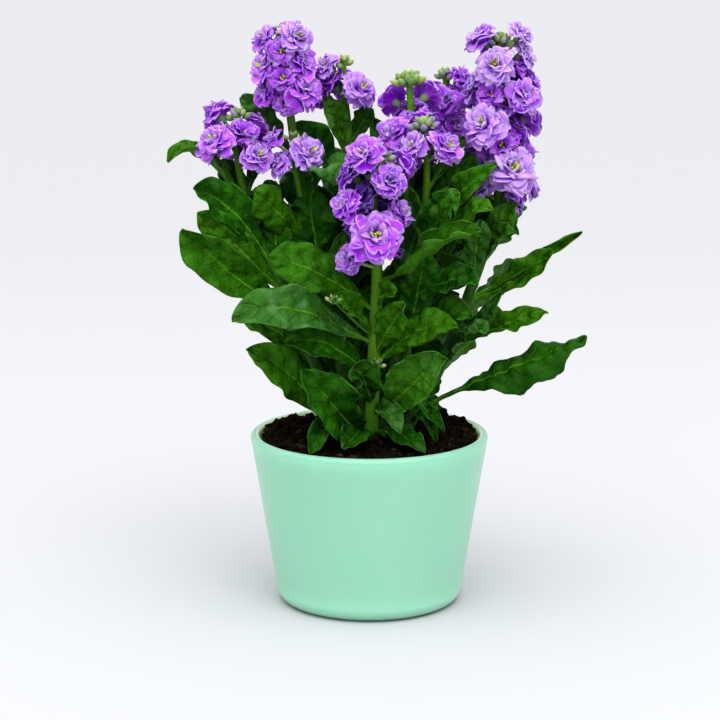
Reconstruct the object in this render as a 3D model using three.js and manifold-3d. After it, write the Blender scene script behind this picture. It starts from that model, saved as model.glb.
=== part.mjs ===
// A potted stock (Matthiola incana): eight leafy stems with heads of double violet flowers,
// standing in soil in a pale green tapered pot. Millimetres, +Z up, origin at the centre of
// the pot's flat underside. -Y is the front and +X the right-hand side.
import * as THREE from 'three';
import { mergeVertices } from 'three/addons/utils/BufferGeometryUtils.js';
import Module from 'manifold-3d';

const wasm = await Module();
wasm.setup();

// Driving dimensions
const CLEAR = 0.4; // gap left where one piece passes through or sits in another
const POT = {
  height: 94,
  rimRadius: 65, // outside, at the rim
  footRadius: 50.2, // outside, where the straight wall would meet the ground
  wall: 5,
  floor: 6,
  edgeRound: 8, // round between wall and underside
  cornerRun: 5, // slope between the inside's floor and wall: how far in, and how high
  cornerRise: 4,
  footSteps: 3, // straight pieces in the foot's rounding, and in the rim's
  rimSteps: 3,
  segments: 36,
};
const SOIL = {
  level: 88, // height of the surface at the pot's wall
  mound: 3, // how much higher it is round the stems
  lump: 1.7, // height of the lumps
  lumpTurns: [0.55, 0.21, -0.13, 0.47], // turns of their two crossing waves, radians a millimetre
  crumb: 1, // height of the crumbs on them
  crumbTurns: [0.9, -0.8],
  cornerRun: 7, // slope between its underside and its side
  cornerRise: 6,
  middle: 2, // radius of the smallest ring of points
  rings: 3, // rings of points across the surface
  segments: 17,
};
const STEM = {
  sides: 6,
  stations: 8,
  rootDepth: 38, // how far the root reaches below the stem's foot
  rootShare: 0.45, // radius of the root's lower end, as a share of the foot's
};
const LEAF = {
  stations: [0, 0.22, 0.44, 0.66, 0.87], // shares of the length where sections stand
  blade: 0.9, // thickness of the blade
  petiole: 2, // thickness where the leaf leaves its stem
  petioleEnd: 0.25, // share of the length where the stalk has become blade
  petioleHalf: 1.2, // half-width of the stalk
  bluntness: 0.72, // power of the outline: smaller is blunter
  widestPower: 1.75, // moves the widest place beyond the middle
  cup: 0.22, // how far the margins rise, as a share of the half-width
  cupFrom: 0.1, // shares of the length between which the cup and the waves grow
  cupFull: 0.4,
  wave: 0.14, // height of the margin's waves, as a share of the half-width
  waves: 2.2, // number of waves along a margin
};
const HEAD = {
  core: 4.4, // outside radius of the core
  seat: 3.5, // distance from the stem's axis where a flower's stalk starts, inside the core
  sides: 6,
  step: 15, // height between the core's sections
  below: 8, // how far the core reaches below the lowest flower's centre
  topGap: 5, // how far below the stem's tip the core ends
  lastFlower: 11, // how far below the stem's tip the highest flower leaves the stem
  fullFrom: 11.5, // flowers of this radius or more have all their layers
};
// The rings of a double flower as shares of its radius: distance from its axis, and height along
// it. In each layer of petals one rim point of every petal is the notch between it and the next,
// and `floor` is the ring that the next layer stands on.
const FLOWER = {
  petalPoints: 3, // rim points a petal
  notch: 0.62, // a notch's distance, as a share of its rim's
  ruffle: 0.09, // unevenness of the rims
  ruffleTurn: 5, // turn from one rim point's ruffle to the next, radians
  droop: 0.7, // how far below its centre a flower leaves the stem
  flattest: 0.5, // least sine of the angle between stalk and stem
  calyx: { reach: 0.3, rise: -0.42 },
  small: {
    petals: 3,
    layers: [
      { reach: 1, rise: -0.12, notchAt: 0, floor: { reach: 0.36, rise: 0.08 } },
      { reach: 0.68, rise: 0.42, notchAt: 1 },
    ],
    middle: 0.16,
  },
  full: {
    petals: 4,
    layers: [
      { reach: 1, rise: -0.14, notchAt: 0, floor: { reach: 0.4, rise: 0 } },
      { reach: 0.84, rise: 0.28, notchAt: 1, floor: { reach: 0.28, rise: 0.22 } },
      { reach: 0.5, rise: 0.6, notchAt: 2 },
    ],
    middle: 0.3,
  },
};
const BUD = {
  length: 8,
  sides: 4,
  widest: { at: -0.3, radius: 2.4 }, // place as a share of the half-length
  shoulder: { at: 0.4, radius: 1.9 },
  count: 4, // one upright in the middle, the others leaning out round it
  spread: 2.6, // distance from the stem's axis to a leaning bud's middle
  lean: 2, // how far a leaning bud's ends stand either side of its middle
  crown: 3.2, // height of the upright bud's middle above the stem's tip
};
// The room round the buds: heights from the stem's tip, with the radius free of petals there
const BUD_ROOM = [
  { height: -4.4, radius: 4.6 },
  { height: 2, radius: 6.6 },
  { height: 8.4, radius: 3.6 },
];
const FINISHES = {
  pot: { color: '#9fdfbd', roughness: 0.2 },
  soil: { color: '#2c1d14', roughness: 1 },
  leaf: { color: '#3f7a2e', roughness: 0.6 },
  petal: { color: '#a968dd', roughness: 0.7 },
};

// Each stem has its path from the soil up, and its radius at the foot and at the tip; one that
// joins another starts inside it. A leaf is [height where it joins, tip x, y, z, width, lift near
// the stem, lift near the tip, facing], with facing in degrees from upwards towards the front.
// A flower is [x, y, z, radius] of its centre.
const STEMS = {
  front: {
    path: [
      [1, -6, 92], [2, -12, 120], [3, -20, 154], [4, -28, 183], [3, -33, 207], [2, -35, 231],
      [6, -36, 250],
    ],
    radius: [3.9, 2.1],
    leaves: [
      [139, 18, -46, 173, 17, 2, 2, 70],
      [134, 42, -42, 166, 18, 4, 6, 55],
      [152, -20, -48, 174, 14, 2, 10, 50],
      [125, -43, -40, 151, 23, 10, 14, 60],
      [97, -31, -56, 138, 28, -8, 2, 75],
      [110, -6, -36, 135, 20, 2, 8, 70],
      [108, 40, -56, 146, 30, -8, 4, 70],
      [146, -70, -58, 170, 24, 8, 16, 62],
      [164, -52, -36, 196, 25, 6, 8, 58],
      [182, 57, -62, 214, 17, -6, 10, 50],
      [168, 12, -48, 179, 11, 3, 5, 60],
      [95, -14, -50, 96, 16, 6, 8, 20],
      [96, 28, -44, 97, 14, 8, 8, 25],
    ],
    flowers: [
      [-3, -48, 251, 11.5], [9, -50, 237, 11], [-12, -45, 224, 10], [3, -54, 210, 15],
      [-10, -44, 196, 9.5], [15, -38, 219, 9.5], [3, -22, 236, 11], [-5, -22, 212, 10.5],
      [17, -30, 244, 9.5], [-9, -30, 238, 10],
    ],
  },
  right: {
    path: [
      [19, 4, 92], [33, 6, 117], [45, 4, 144], [55, 0, 173], [63, -2, 198], [69, -3, 225],
      [71, -2, 260], [70, 0, 291], [69, 0, 307],
    ],
    radius: [3.6, 1.9],
    leaves: [
      [103, 118, -6, 149, 22, -4, -7, 62],
      [140, 96, -22, 161, 15, 4, 4, 45],
      [167, 116, 8, 204, 16, -3, -2, 55],
      [176, 58, -26, 214, 14, 2, 6, 60],
      [186, 76, -26, 208, 13, 6, 8, 50],
      [196, 88, -14, 206, 10, 4, 6, 50],
      [98, 36, -26, 95, 13, 10, 8, 40],
      [150, 90, 44, 186, 23, 6, 6, -60],
      [122, 76, 50, 148, 24, 6, 10, -62],
      [184, 84, 32, 214, 18, 2, 4, -55],
    ],
    flowers: [
      [59, -2, 307, 10.5], [79, -5, 310, 8], [81, -1, 299, 9.5], [66, -15, 294, 12],
      [80, -13, 278, 11.5], [61, -17, 263, 13], [74, -18, 239, 15], [61, -6, 228, 10],
      [76, -4, 221, 8.5], [85, -1, 229, 8.5], [70, 14, 290, 12], [74, 14, 266, 11.4],
      [70, 13, 240, 11.4], [57, 3, 281, 10], [58, 8, 250, 9.5], [83, 4, 284, 10],
      [84, 2, 266, 10.5], [83, 2, 247, 10.5],
    ],
  },
  lefttall: {
    path: [
      [-10, 4, 92], [-17, 6, 138], [-28, 8, 182], [-37, 10, 226], [-42, 10, 262], [-45, 9, 288],
      [-46, 8, 312],
    ],
    radius: [3.6, 1.9],
    leaves: [
      [186, -62, -14, 228, 22, 6, 10, 62],
      [214, -14, -20, 232, 22, 12, 14, 30],
      [238, -70, 26, 274, 17, 4, 6, 20],
      [150, -64, 52, 184, 24, 6, 8, -62],
      [182, -44, 62, 220, 22, 6, 6, -62],
      [122, -50, 54, 142, 24, 8, 10, -60],
      [164, -14, -6, 204, 10, 0, 4, 70],
    ],
    flowers: [
      [-39, -4, 308, 10.5], [-55, 6, 307, 9], [-55, 0, 292, 11], [-36, -2, 294, 10],
      [-54, 3, 279, 9.5], [-35, -3, 280, 12], [-45, 20, 302, 10], [-46, 21, 282, 11],
    ],
  },
  leftlow: {
    path: [
      [-13, -8, 92], [-28, -8, 130], [-45, -8, 171], [-60, -6, 204], [-68, -4, 230],
      [-71, -4, 252], [-70, -2, 268],
    ],
    radius: [3.4, 1.9],
    leaves: [
      [222, -107, -14, 241, 12, 8, 16, 25],
      [176, -92, -22, 231, 21, 4, 8, 62],
      [174, -91, 2, 213, 18, 4, 4, 50],
      [164, -99, -22, 211, 27, -8, -6, 62],
      [136, -68, -8, 160, 16, 2, 6, 55],
      [112, -62, -34, 149, 23, -2, 6, 62],
      [96, -32, -42, 96, 13, 12, 10, 35],
      [222, -57, 16, 250, 10, 4, 6, 0],
      [146, -88, 30, 164, 22, 6, 8, -50],
      [188, -88, 42, 226, 20, 4, 6, -50],
      [104, -62, 32, 118, 20, 8, 12, -45],
    ],
    flowers: [
      [-80, -14, 254, 13], [-81, 2, 267, 10.5], [-61, -11, 246, 10.5], [-61, 6, 260, 9.5],
      [-75, 10, 250, 11],
    ],
  },
  leftside: {
    path: [[-33, 9, 206], [-37, 3, 224], [-40, 0, 240], [-41, 0, 256]],
    radius: [1.8, 1.5],
    joins: 'lefttall',
    leaves: [],
    flowers: [[-33, -8, 247, 11.5], [-51, -5, 254, 8], [-47, -6, 242, 8]],
  },
  mid: {
    path: [
      [-4, 12, 92], [-8, 18, 136], [-11, 24, 185], [-11, 26, 235], [-12, 24, 262], [-14, 22, 280],
      [-14, 22, 294],
    ],
    radius: [3.3, 1.9],
    leaves: [
      [238, -22, 16, 275, 13, 4, 4, 65],
      [220, -40, 12, 262, 18, 6, 8, 55],
      [247, 2, 30, 268, 12, 2, 4, 50],
      [140, -14, 76, 164, 24, 8, 12, -65],
      [172, 6, 74, 210, 22, 6, 8, -68],
      [202, -24, 62, 242, 20, 6, 6, -65],
      [112, -16, 66, 122, 23, 12, 12, -55],
      [180, -27, 8, 225, 18, 4, 6, 74],
    ],
    flowers: [[-22, 18, 291, 9], [-6, 15, 279, 12], [-14, 34, 280, 10], [-24, 26, 275, 9]],
  },
  centre: {
    path: [
      [8, 8, 92], [15, 8, 138], [20, 6, 194], [22, 4, 237], [22, 2, 268], [21, 2, 286],
    ],
    radius: [3.3, 2.1],
    leaves: [
      [186, 33, -7, 230, 20, -2, 2, 85],
      [218, 2, 24, 264, 15, 0, 2, 40],
      [160, 52, 0, 186, 18, 6, 8, 62],
      [150, 12, -10, 188, 20, 0, 4, 75],
      [205, 8, 38, 240, 19, 4, 6, -60],
    ],
    flowers: [
      [31, 12, 277, 11], [13, 13, 274, 10], [14, -6, 257, 11.5], [18, -8, 243, 10.5],
      [29, 15, 254, 10],
    ],
  },
  back: {
    path: [
      [11, 20, 92], [29, 34, 133], [40, 42, 188], [44, 42, 239], [43, 40, 267], [42, 40, 286],
    ],
    radius: [3.3, 1.9],
    leaves: [
      [118, 54, 66, 132, 23, 8, 10, -60],
      [132, 22, 84, 150, 24, 8, 12, -66],
      [158, 74, 78, 186, 24, 6, 8, -60],
      [184, 28, 86, 222, 22, 6, 8, -68],
      [206, 74, 66, 238, 19, 4, 6, -60],
    ],
    flowers: [
      [50, 38, 283, 9.5], [42, 29, 271, 11], [55, 44, 272, 8.5], [47, 31, 259, 10],
      [42, 54, 270, 10.5], [38, 52, 257, 9],
    ],
  },
  low: {
    path: [
      [12, -6, 92], [19, -12, 136], [26, -16, 186], [30, -18, 229], [30, -18, 250], [29, -18, 264],
    ],
    radius: [3.3, 1.9],
    leaves: [
      [214, 63, -32, 246, 19, 2, 4, 60],
      [203, 64, -38, 222, 16, 4, 8, 65],
      [188, 44, -42, 228, 24, 4, 8, 70],
      [228, 50, -14, 258, 8, 0, 4, 50],
      [172, 56, -42, 180, 18, 6, 10, 60],
      [200, 19, -26, 233, 9, 2, 2, 70],
      [112, 40, -29, 100, 13, 10, 8, 60],
      [148, 54, -30, 164, 19, 4, 8, 55],
    ],
    flowers: [[29, -8, 265, 8], [39, -26, 252, 11], [23, -25, 253, 9], [35, -8, 252, 9]],
  },
};

const UP = new THREE.Vector3(0, 0, 1);
const { clamp, degToRad, lerp, smoothstep } = THREE.MathUtils;
const last = (list) => list[list.length - 1];

// A closed solid of three.js geometry, for joining and cutting.
function solidOf(geometry) {
  geometry.deleteAttribute('normal');
  geometry.deleteAttribute('uv');
  const merged = mergeVertices(geometry, 1e-4);
  return new wasm.Manifold(
    new wasm.Mesh({
      numProp: 3,
      vertProperties: merged.attributes.position.array,
      triVerts: new Uint32Array(merged.index.array),
    }),
  );
}

// The largest body of a solid: a scrap that a cut leaves loose is dropped.
function largest(solid) {
  return solid.decompose().reduce((a, b) => (b.volume() > a.volume() ? b : a));
}

function geometryOf(solid) {
  const { vertProperties, triVerts } = solid.getMesh();
  const geometry = new THREE.BufferGeometry();
  geometry.setAttribute('position', new THREE.BufferAttribute(vertProperties, 3));
  geometry.setIndex(new THREE.BufferAttribute(triVerts, 1));
  geometry.computeVertexNormals();
  return geometry;
}

// A closed skin over rings of equal size. An end ring is closed by a fan, and may be one point.
// The sides listed in `mirrored` are split along their other diagonal, so that a thin blade's
// two faces match.
function skin(rings, mirrored = []) {
  const size = rings[1].length;
  const faces = [];
  let start = 0;
  for (let k = 0; k + 1 < rings.length; k++) {
    const above = start + rings[k].length;
    for (let j = 0; j < size; j++) {
      const next = (j + 1) % size;
      if (rings[k].length === 1) {
        faces.push(start, above + next, above + j);
      } else if (rings[k + 1].length === 1) {
        faces.push(start + j, start + next, above);
      } else if (mirrored.includes(j)) {
        faces.push(start + j, start + next, above + j);
        faces.push(start + next, above + next, above + j);
      } else {
        faces.push(start + j, start + next, above + next);
        faces.push(start + j, above + next, above + j);
      }
    }
    start = above;
  }
  for (let j = 1; j + 1 < size; j++) {
    if (rings[0].length > 1) faces.push(0, j + 1, j);
    if (last(rings).length > 1) faces.push(start, start + j, start + j + 1);
  }
  const geometry = new THREE.BufferGeometry().setFromPoints(rings.flat());
  geometry.setIndex(faces);
  return solidOf(geometry);
}

// A round ring of points about `centre`, square to `along`.
function ring(centre, along, radius, sides) {
  const side = new THREE.Vector3(1, 0, 0).addScaledVector(along, -along.x).normalize();
  const other = new THREE.Vector3().crossVectors(along, side);
  return Array.from({ length: sides }, (_, i) => {
    const turn = (i / sides) * 2 * Math.PI;
    const point = centre.clone().addScaledVector(side, radius * Math.cos(turn));
    return point.addScaledVector(other, radius * Math.sin(turn));
  });
}

// The places along a stem where its rings stand: centre, direction and radius of each.
function stationsOf(stem) {
  const curve = new THREE.CatmullRomCurve3(stem.path.map((p) => new THREE.Vector3(...p)));
  return Array.from({ length: STEM.stations }, (_, i) => {
    const share = i / (STEM.stations - 1);
    return {
      centre: curve.getPoint(share),
      along: curve.getTangent(share),
      radius: lerp(stem.radius[0], stem.radius[1], share),
    };
  });
}

// A tube over a stem's stations, `extra` wider all round.
function tube(stations, extra = 0) {
  return skin(stations.map((s) => ring(s.centre, s.along, s.radius + extra, STEM.sides)));
}

// A stem's stations with its root added, straight down into the soil, `extra` deeper.
function withRoot(stations, extra = 0) {
  const foot = stations[0];
  const depth = STEM.rootDepth + extra;
  const root = {
    centre: foot.centre.clone().addScaledVector(UP, -depth),
    along: UP,
    radius: foot.radius * STEM.rootShare,
  };
  return [root, ...stations];
}

// The place on a stem at a height: its centre and direction.
function stemAt(stations, height) {
  const above = Math.max(1, stations.findIndex((s) => s.centre.z >= height));
  const low = stations[above - 1];
  const high = stations[above];
  const share = clamp((height - low.centre.z) / (high.centre.z - low.centre.z), 0, 1);
  return {
    centre: low.centre.clone().lerp(high.centre, share),
    along: low.along.clone().lerp(high.along, share).normalize(),
  };
}

// Half-width of a leaf at a share of its length: a narrow stalk, then a blunt-ended blade.
function halfWidth(t, width) {
  const blade = Math.sin(Math.PI * t ** LEAF.widestPower) ** LEAF.bluntness;
  return Math.max(LEAF.petioleHalf, (width / 2) * blade);
}

// One leaf: a blade along a curved midrib, its margins raised and waved.
function leafSolid(stations, [join, x, y, z, width, liftNear, liftFar, facing]) {
  const root = stemAt(stations, join).centre;
  const tip = new THREE.Vector3(x, y, z);
  const near = root.clone().lerp(tip, 1 / 3).addScaledVector(UP, liftNear);
  const far = root.clone().lerp(tip, 2 / 3).addScaledVector(UP, liftFar);
  const midrib = new THREE.CubicBezierCurve3(root, near, far, tip);
  const turn = degToRad(facing);
  const face = new THREE.Vector3(0, -Math.sin(turn), Math.cos(turn));
  const rings = LEAF.stations.map((t) => {
    const along = midrib.getTangent(t);
    const up = face.clone().addScaledVector(along, -face.dot(along)).normalize();
    const across = new THREE.Vector3().crossVectors(up, along);
    const half = halfWidth(t, width);
    const thickness = lerp(LEAF.petiole, LEAF.blade, Math.min(1, t / LEAF.petioleEnd));
    const growth = smoothstep(t, LEAF.cupFrom, LEAF.cupFull);
    const point = (side, sign) => {
      const wave = LEAF.wave * Math.sin(2 * Math.PI * LEAF.waves * t + side + join);
      const rise = Math.abs(side) * half * growth * (LEAF.cup + wave);
      const place = midrib.getPoint(t).addScaledVector(across, side * half);
      return place.addScaledVector(up, rise + (sign * thickness) / 2);
    };
    return [point(-1, 1), point(-1, -1), point(0, -1), point(1, -1), point(1, 1), point(0, 1)];
  });
  return skin([...rings, [tip]], [1, 2]);
}

// One double flower, facing away from its stem, its stalk drawn to a point inside the core.
function flowerSolid(stations, [x, y, z, radius]) {
  const centre = new THREE.Vector3(x, y, z);
  const highest = last(stations).centre.z - HEAD.lastFlower;
  const root = stemAt(stations, Math.min(z - radius * FLOWER.droop, highest));
  const out = centre.clone().sub(root.centre).normalize();
  const side = UP.clone().cross(out).normalize();
  const other = new THREE.Vector3().crossVectors(out, side);
  const form = radius >= HEAD.fullFrom ? FLOWER.full : FLOWER.small;
  const points = FLOWER.petalPoints * form.petals;
  const phase = x + z; // turns each flower its own way
  const circle = ({ reach, rise, notchAt }) =>
    Array.from({ length: points }, (_, i) => {
      const turn = (i / points) * 2 * Math.PI + phase;
      const swing = FLOWER.ruffle * Math.sin(FLOWER.ruffleTurn * (i + phase));
      const ruffle = notchAt === undefined ? 0 : swing;
      const notched = i % FLOWER.petalPoints === notchAt;
      const distance = radius * reach * (notched ? FLOWER.notch : 1 - Math.abs(ruffle));
      return centre
        .clone()
        .addScaledVector(side, distance * Math.cos(turn))
        .addScaledVector(other, distance * Math.sin(turn))
        .addScaledVector(out, radius * (rise + ruffle * reach));
    });
  const rings = form.layers.flatMap((layer) => [layer, layer.floor ?? []].flat()).map(circle);
  const slant = Math.max(FLOWER.flattest, out.clone().cross(root.along).length());
  const seat = root.centre.clone().addScaledVector(out, HEAD.seat / slant);
  const middle = centre.clone().addScaledVector(out, radius * form.middle);
  return skin([[seat], circle(FLOWER.calyx), ...rings, [middle]]);
}

// The buds at a stem's tip: one upright, the others leaning out round it.
function budSolids(stations) {
  const tip = last(stations).centre;
  const leaning = BUD.count - 1;
  return Array.from({ length: BUD.count }, (_, i) => {
    const turn = (i / leaning) * 2 * Math.PI;
    const outward = new THREE.Vector3(Math.cos(turn), Math.sin(turn), 0);
    const middle = tip.clone();
    const half = UP.clone().multiplyScalar(BUD.length / 2);
    if (i < leaning) {
      middle.addScaledVector(outward, BUD.spread);
      half.addScaledVector(outward, BUD.lean);
    } else {
      middle.addScaledVector(UP, BUD.crown);
    }
    const at = (share) => middle.clone().addScaledVector(half, share);
    const along = half.clone().normalize();
    const section = ({ at: share, radius }) => ring(at(share), along, radius, BUD.sides);
    return skin([[at(-1)], section(BUD.widest), section(BUD.shoulder), [at(1)]]);
  });
}

// The room left in a head for its stem's tip and buds.
function budRoom(stations) {
  const tip = last(stations).centre;
  const at = (height) => tip.clone().addScaledVector(UP, height);
  return skin(BUD_ROOM.map(({ height, radius }) => ring(at(height), UP, radius, HEAD.sides)));
}

// A head of flowers: a slim core round the stem, the flowers standing out of it.
function headSolid(stem, stations) {
  const heights = stem.flowers.map((flower) => flower[2]);
  const low = Math.min(...heights) - HEAD.below;
  const high = Math.min(Math.max(...heights), last(stations).centre.z - HEAD.topGap);
  const count = Math.ceil((high - low) / HEAD.step);
  const core = Array.from({ length: count + 1 }, (_, i) => {
    const { centre, along } = stemAt(stations, lerp(low, high, i / count));
    return ring(centre, along, HEAD.core, HEAD.sides);
  });
  const flowers = stem.flowers.map((flower) => flowerSolid(stations, flower));
  return wasm.Manifold.union([skin(core), ...flowers]);
}

// Outside radius of the pot's wall at a height.
function potRadius(z) {
  return lerp(POT.footRadius, POT.rimRadius, z / POT.height);
}

// An arc of a profile: [radius, height] points from one angle to another about a centre.
function arc(r, z, radius, from, to, steps) {
  return Array.from({ length: steps + 1 }, (_, i) => {
    const turn = degToRad(lerp(from, to, i / steps));
    return [r + radius * Math.cos(turn), z + radius * Math.sin(turn)];
  });
}

// The pot: tapered wall, rounded rim and foot edge, flat underside.
function potGeometry() {
  const inside = (z) => potRadius(z) - POT.wall;
  const cornerTop = POT.floor + POT.cornerRise;
  const round = POT.edgeRound;
  const lip = POT.wall / 2;
  const profile = [
    [0, 0],
    ...arc(potRadius(round) - round, round, round, -90, 0, POT.footSteps),
    ...arc(POT.rimRadius - lip, POT.height - lip, lip, 0, 180, POT.rimSteps),
    [inside(cornerTop), cornerTop],
    [inside(POT.floor) - POT.cornerRun, POT.floor],
    [0, POT.floor],
  ];
  const lathe = new THREE.LatheGeometry(profile.map((p) => new THREE.Vector2(...p)), POT.segments);
  return lathe.rotateX(Math.PI / 2);
}

// Height of the soil's surface: higher round the stems, lumpy and crumbed all over.
function soilHeight(x, y) {
  const share = Math.hypot(x, y) / POT.rimRadius;
  const [ax, ay, bx, by] = SOIL.lumpTurns;
  const [cx, cy] = SOIL.crumbTurns;
  const lump = SOIL.lump * Math.sin(ax * x + ay * y) * Math.sin(bx * x + by * y);
  const crumb = SOIL.crumb * Math.sin(cx * x + cy * y);
  return SOIL.level + SOIL.mound * (1 - share * share) + lump + crumb;
}

// The soil: it fills the pot, and the stems stand in it.
function soilSolid() {
  const reach = (z) => potRadius(z) - POT.wall - CLEAR;
  const bottom = POT.floor + CLEAR;
  const cornerTop = bottom + SOIL.cornerRise;
  const around = (radius, height) =>
    Array.from({ length: SOIL.segments }, (_, i) => {
      const turn = (i / SOIL.segments) * 2 * Math.PI;
      const x = radius * Math.cos(turn);
      const y = radius * Math.sin(turn);
      return new THREE.Vector3(x, y, height ?? soilHeight(x, y));
    });
  const surface = Array.from({ length: SOIL.rings }, (_, i) =>
    around(reach(SOIL.level) * (1 - i / SOIL.rings)),
  );
  return skin([
    around(SOIL.middle, bottom),
    around(reach(bottom) - SOIL.cornerRun, bottom),
    around(reach(cornerTop), cornerTop),
    ...surface,
    around(SOIL.middle),
  ]);
}

// Each stem's green solid, and its head of flowers cleared round the stem and its buds.
const greens = {};
const heads = {};
const rootHoles = [];
for (const [name, stem] of Object.entries(STEMS)) {
  const stations = stationsOf(stem);
  const leaves = stem.leaves.map((leaf) => leafSolid(stations, leaf));
  const stalk = tube(stem.joins ? stations : withRoot(stations));
  const green = wasm.Manifold.union([stalk, ...leaves, ...budSolids(stations)]);
  const owner = stem.joins ?? name;
  greens[owner] = greens[owner] ? greens[owner].add(green) : green;
  if (!stem.joins) rootHoles.push(tube(withRoot(stations, CLEAR), CLEAR));
  const room = tube(stations, CLEAR).add(budRoom(stations));
  heads[name] = largest(headSolid(stem, stations).subtract(room));
}
const soil = largest(soilSolid().subtract(wasm.Manifold.union(rootHoles)));

function mesh(name, geometry, finish) {
  const made = new THREE.Mesh(geometry, new THREE.MeshStandardMaterial({ ...finish, metalness: 0 }));
  made.name = name;
  return made;
}

const plant = new THREE.Group();
plant.add(mesh('pot', potGeometry(), FINISHES.pot));
plant.add(mesh('soil', geometryOf(soil), FINISHES.soil));
for (const [name, solid] of Object.entries(greens)) {
  plant.add(mesh('leafy_stem_' + name, geometryOf(largest(solid)), FINISHES.leaf));
}
for (const [name, solid] of Object.entries(heads)) {
  plant.add(mesh('flower_head_' + name, geometryOf(solid), FINISHES.petal));
}

export default plant;
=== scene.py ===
# The looks of a potted stock plant: ruffled double flowers, waved and veined leaves, stalks,
# buds, crumbly soil and a milky green pot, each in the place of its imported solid. Sizes are in
# millimetres, as in the solids, and become metres where a mesh is made.
import functools
import math
import random
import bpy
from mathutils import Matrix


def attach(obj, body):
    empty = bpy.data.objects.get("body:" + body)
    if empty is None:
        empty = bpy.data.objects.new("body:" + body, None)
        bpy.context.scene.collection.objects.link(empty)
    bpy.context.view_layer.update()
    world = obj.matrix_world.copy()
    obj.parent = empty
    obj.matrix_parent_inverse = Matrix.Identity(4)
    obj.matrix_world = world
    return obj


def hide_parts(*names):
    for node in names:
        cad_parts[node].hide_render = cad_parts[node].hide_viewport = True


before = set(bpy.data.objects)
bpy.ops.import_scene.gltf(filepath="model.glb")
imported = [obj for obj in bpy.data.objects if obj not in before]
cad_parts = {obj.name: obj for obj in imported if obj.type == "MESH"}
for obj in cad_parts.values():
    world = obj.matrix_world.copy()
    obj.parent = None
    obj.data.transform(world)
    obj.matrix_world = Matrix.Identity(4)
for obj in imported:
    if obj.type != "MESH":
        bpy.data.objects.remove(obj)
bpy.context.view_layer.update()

from types import SimpleNamespace as Sizes

import bpy
import numpy as np
from mathutils import Vector, noise

MM = 0.001
TINY = 1e-9  # keeps a length of nothing from being divided by
TURN = 2 * math.pi
PHASE = 6.3  # the range in which a wave's start is drawn, about a turn
SPIRAL = 2.4  # radians from one bud or inner flower to the next, round their stem
UP = np.array((0, 0, 1.0))
SEEDS = Sizes(inner_leaves=5, soil=7, stems=100)

# The pot and the soil, with the sizes that the solids have
POT = Sizes(
    height=94, rim_radius=65, foot_radius=50.2, wall=5, floor=6, edge_round=8,
    edge_end=8, corner_run=5, corner_rise=4, inner_levels=(70, 50, 30), middle=20,
    edge_steps=10, wall_steps=10, rim_steps=14, segments=160, glaze_depth=3,
)
SOIL = Sizes(
    level=89.5, mound=3, clear=0.4, bottom=8, middle=8, corner_run=6,
    corner_rise=6, waist=60, rings=40, crowding=0.9, segments=130, crumbs=520,
    within=0.985, lump=1.7, lump_turns=(0.55, 0.21, -0.13, 0.47), rough=(2.2, 0.13),
    fractal=(0.7, 2.0, 4), grain=(0.9, 0.8), heaps=((45, 23, 26, 5.2), (-45, 20, 24, 4.4)),
)
CRUMB = Sizes(
    smallest=0.5, growth=1.9, rarity=2.5, seat=0.25, rows=5, sides=7,
    pole=0.25, rough=(0.7, 1.15), stretch=((0.8, 1.4), (0.7, 1.1), (0.6, 0.9)),
)

# The green look knows a part by its tip value: below 0 it is a stem, from 0 to 1 a bud, from
# its foot to its tip, and above 1 a heart. Its ripe value runs from -1, yellow, to 1, violet.
TIPS = Sizes(stem=-1.0, stalk=0.0, heart=1.5)
TWIG_SIDES = 8
# A wave has its height, and how fast it turns along and across: here up a stem and round it,
# and with where it starts. A stem is painted paler over a range of heights, as painted light
# where it rises out of the plant's shade, and the front stem, in full light, from lower down.
STALK = Sizes(
    sides=12, stations=57, root=8, flare=1.08,
    ridges=(((0.045, 0.02, 3), TURN / 4), ((0.02, 0.11, 5), 0)), pale=(0.7, 185, 240),
    front_pale=(1.0, 60, 112),
)
SHOOT = Sizes(stations=6, radii=(1.0, 0.8), sag=2, tone=0.5, bud_size=0.66, gold=0.7)
# Of two numbers for the tilt, length, girth, stalk or ripeness of a bud, the innermost bud has
# the first, and the outermost has the second added to it
BUD = Sizes(
    length=5.4, radius=1.75, rows=8, sides=8, tilt=(8, 62), tilt_vary=(-8, 8),
    lengths=(0.72, 0.45), length_vary=(0.85, 1.1), girths=(0.75, 0.4),
    girth_vary=(0.9, 1.1), seat=0.9, drop=3.6, stalk=(0.5, 1.7), sunk=0.6,
    stalk_radii=(0.55, 0.5, 0.55), stalk_sides=6, span=(0.045, 0.93),
    bluntness=0.62, taper=0.22, ridges=(0.07, 4), gold_vary=(0.3, 1.45),
    ripe=(0.25, 0.75),
)

# A leaf. Places along and across it are shares of its length and of its half-width.
LEAF = Sizes(
    detail=(46, 17), crowding=(1.3, 0.9), last=0.994, blade=0.5, petiole=2.4,
    petiole_end=0.3, petiole_half=1.3, petiole_over=(0.5, 0.9), bluntness=0.72,
    widen=1.07, cup_over=(0.1, 0.4), twist_over=(0.3, 1.1), curl_over=(0.55, 1.3),
    least_bend=0.001, bays=(0.07, 2.3 * TURN, 0), bay_offset=2,
    nicks=(0.035, 5.2 * TURN, 0), wave=(0.17, 2.2 * TURN, 0), wave_edge=2.2,
    ruffles=4.3 * TURN, shoulder=0.13, veins=7.5, vein_slant=1.2,
    vein_sway=(0.25, 0, 7), quilt=1.7, quilt_width=22, patch=0.65,
    patches=(0.35, 9, 4), billow=(0.9, 5.2, 2.3), rock=(0.12, 6.5, 0),
    pucker=0.57 / 11, puckers=(15, 11, 8.5, 7, 6), rib=0.8, groove=0.9,
    rib_rise=(0.9, 0.8), fresh_rarity=3,
)
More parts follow.
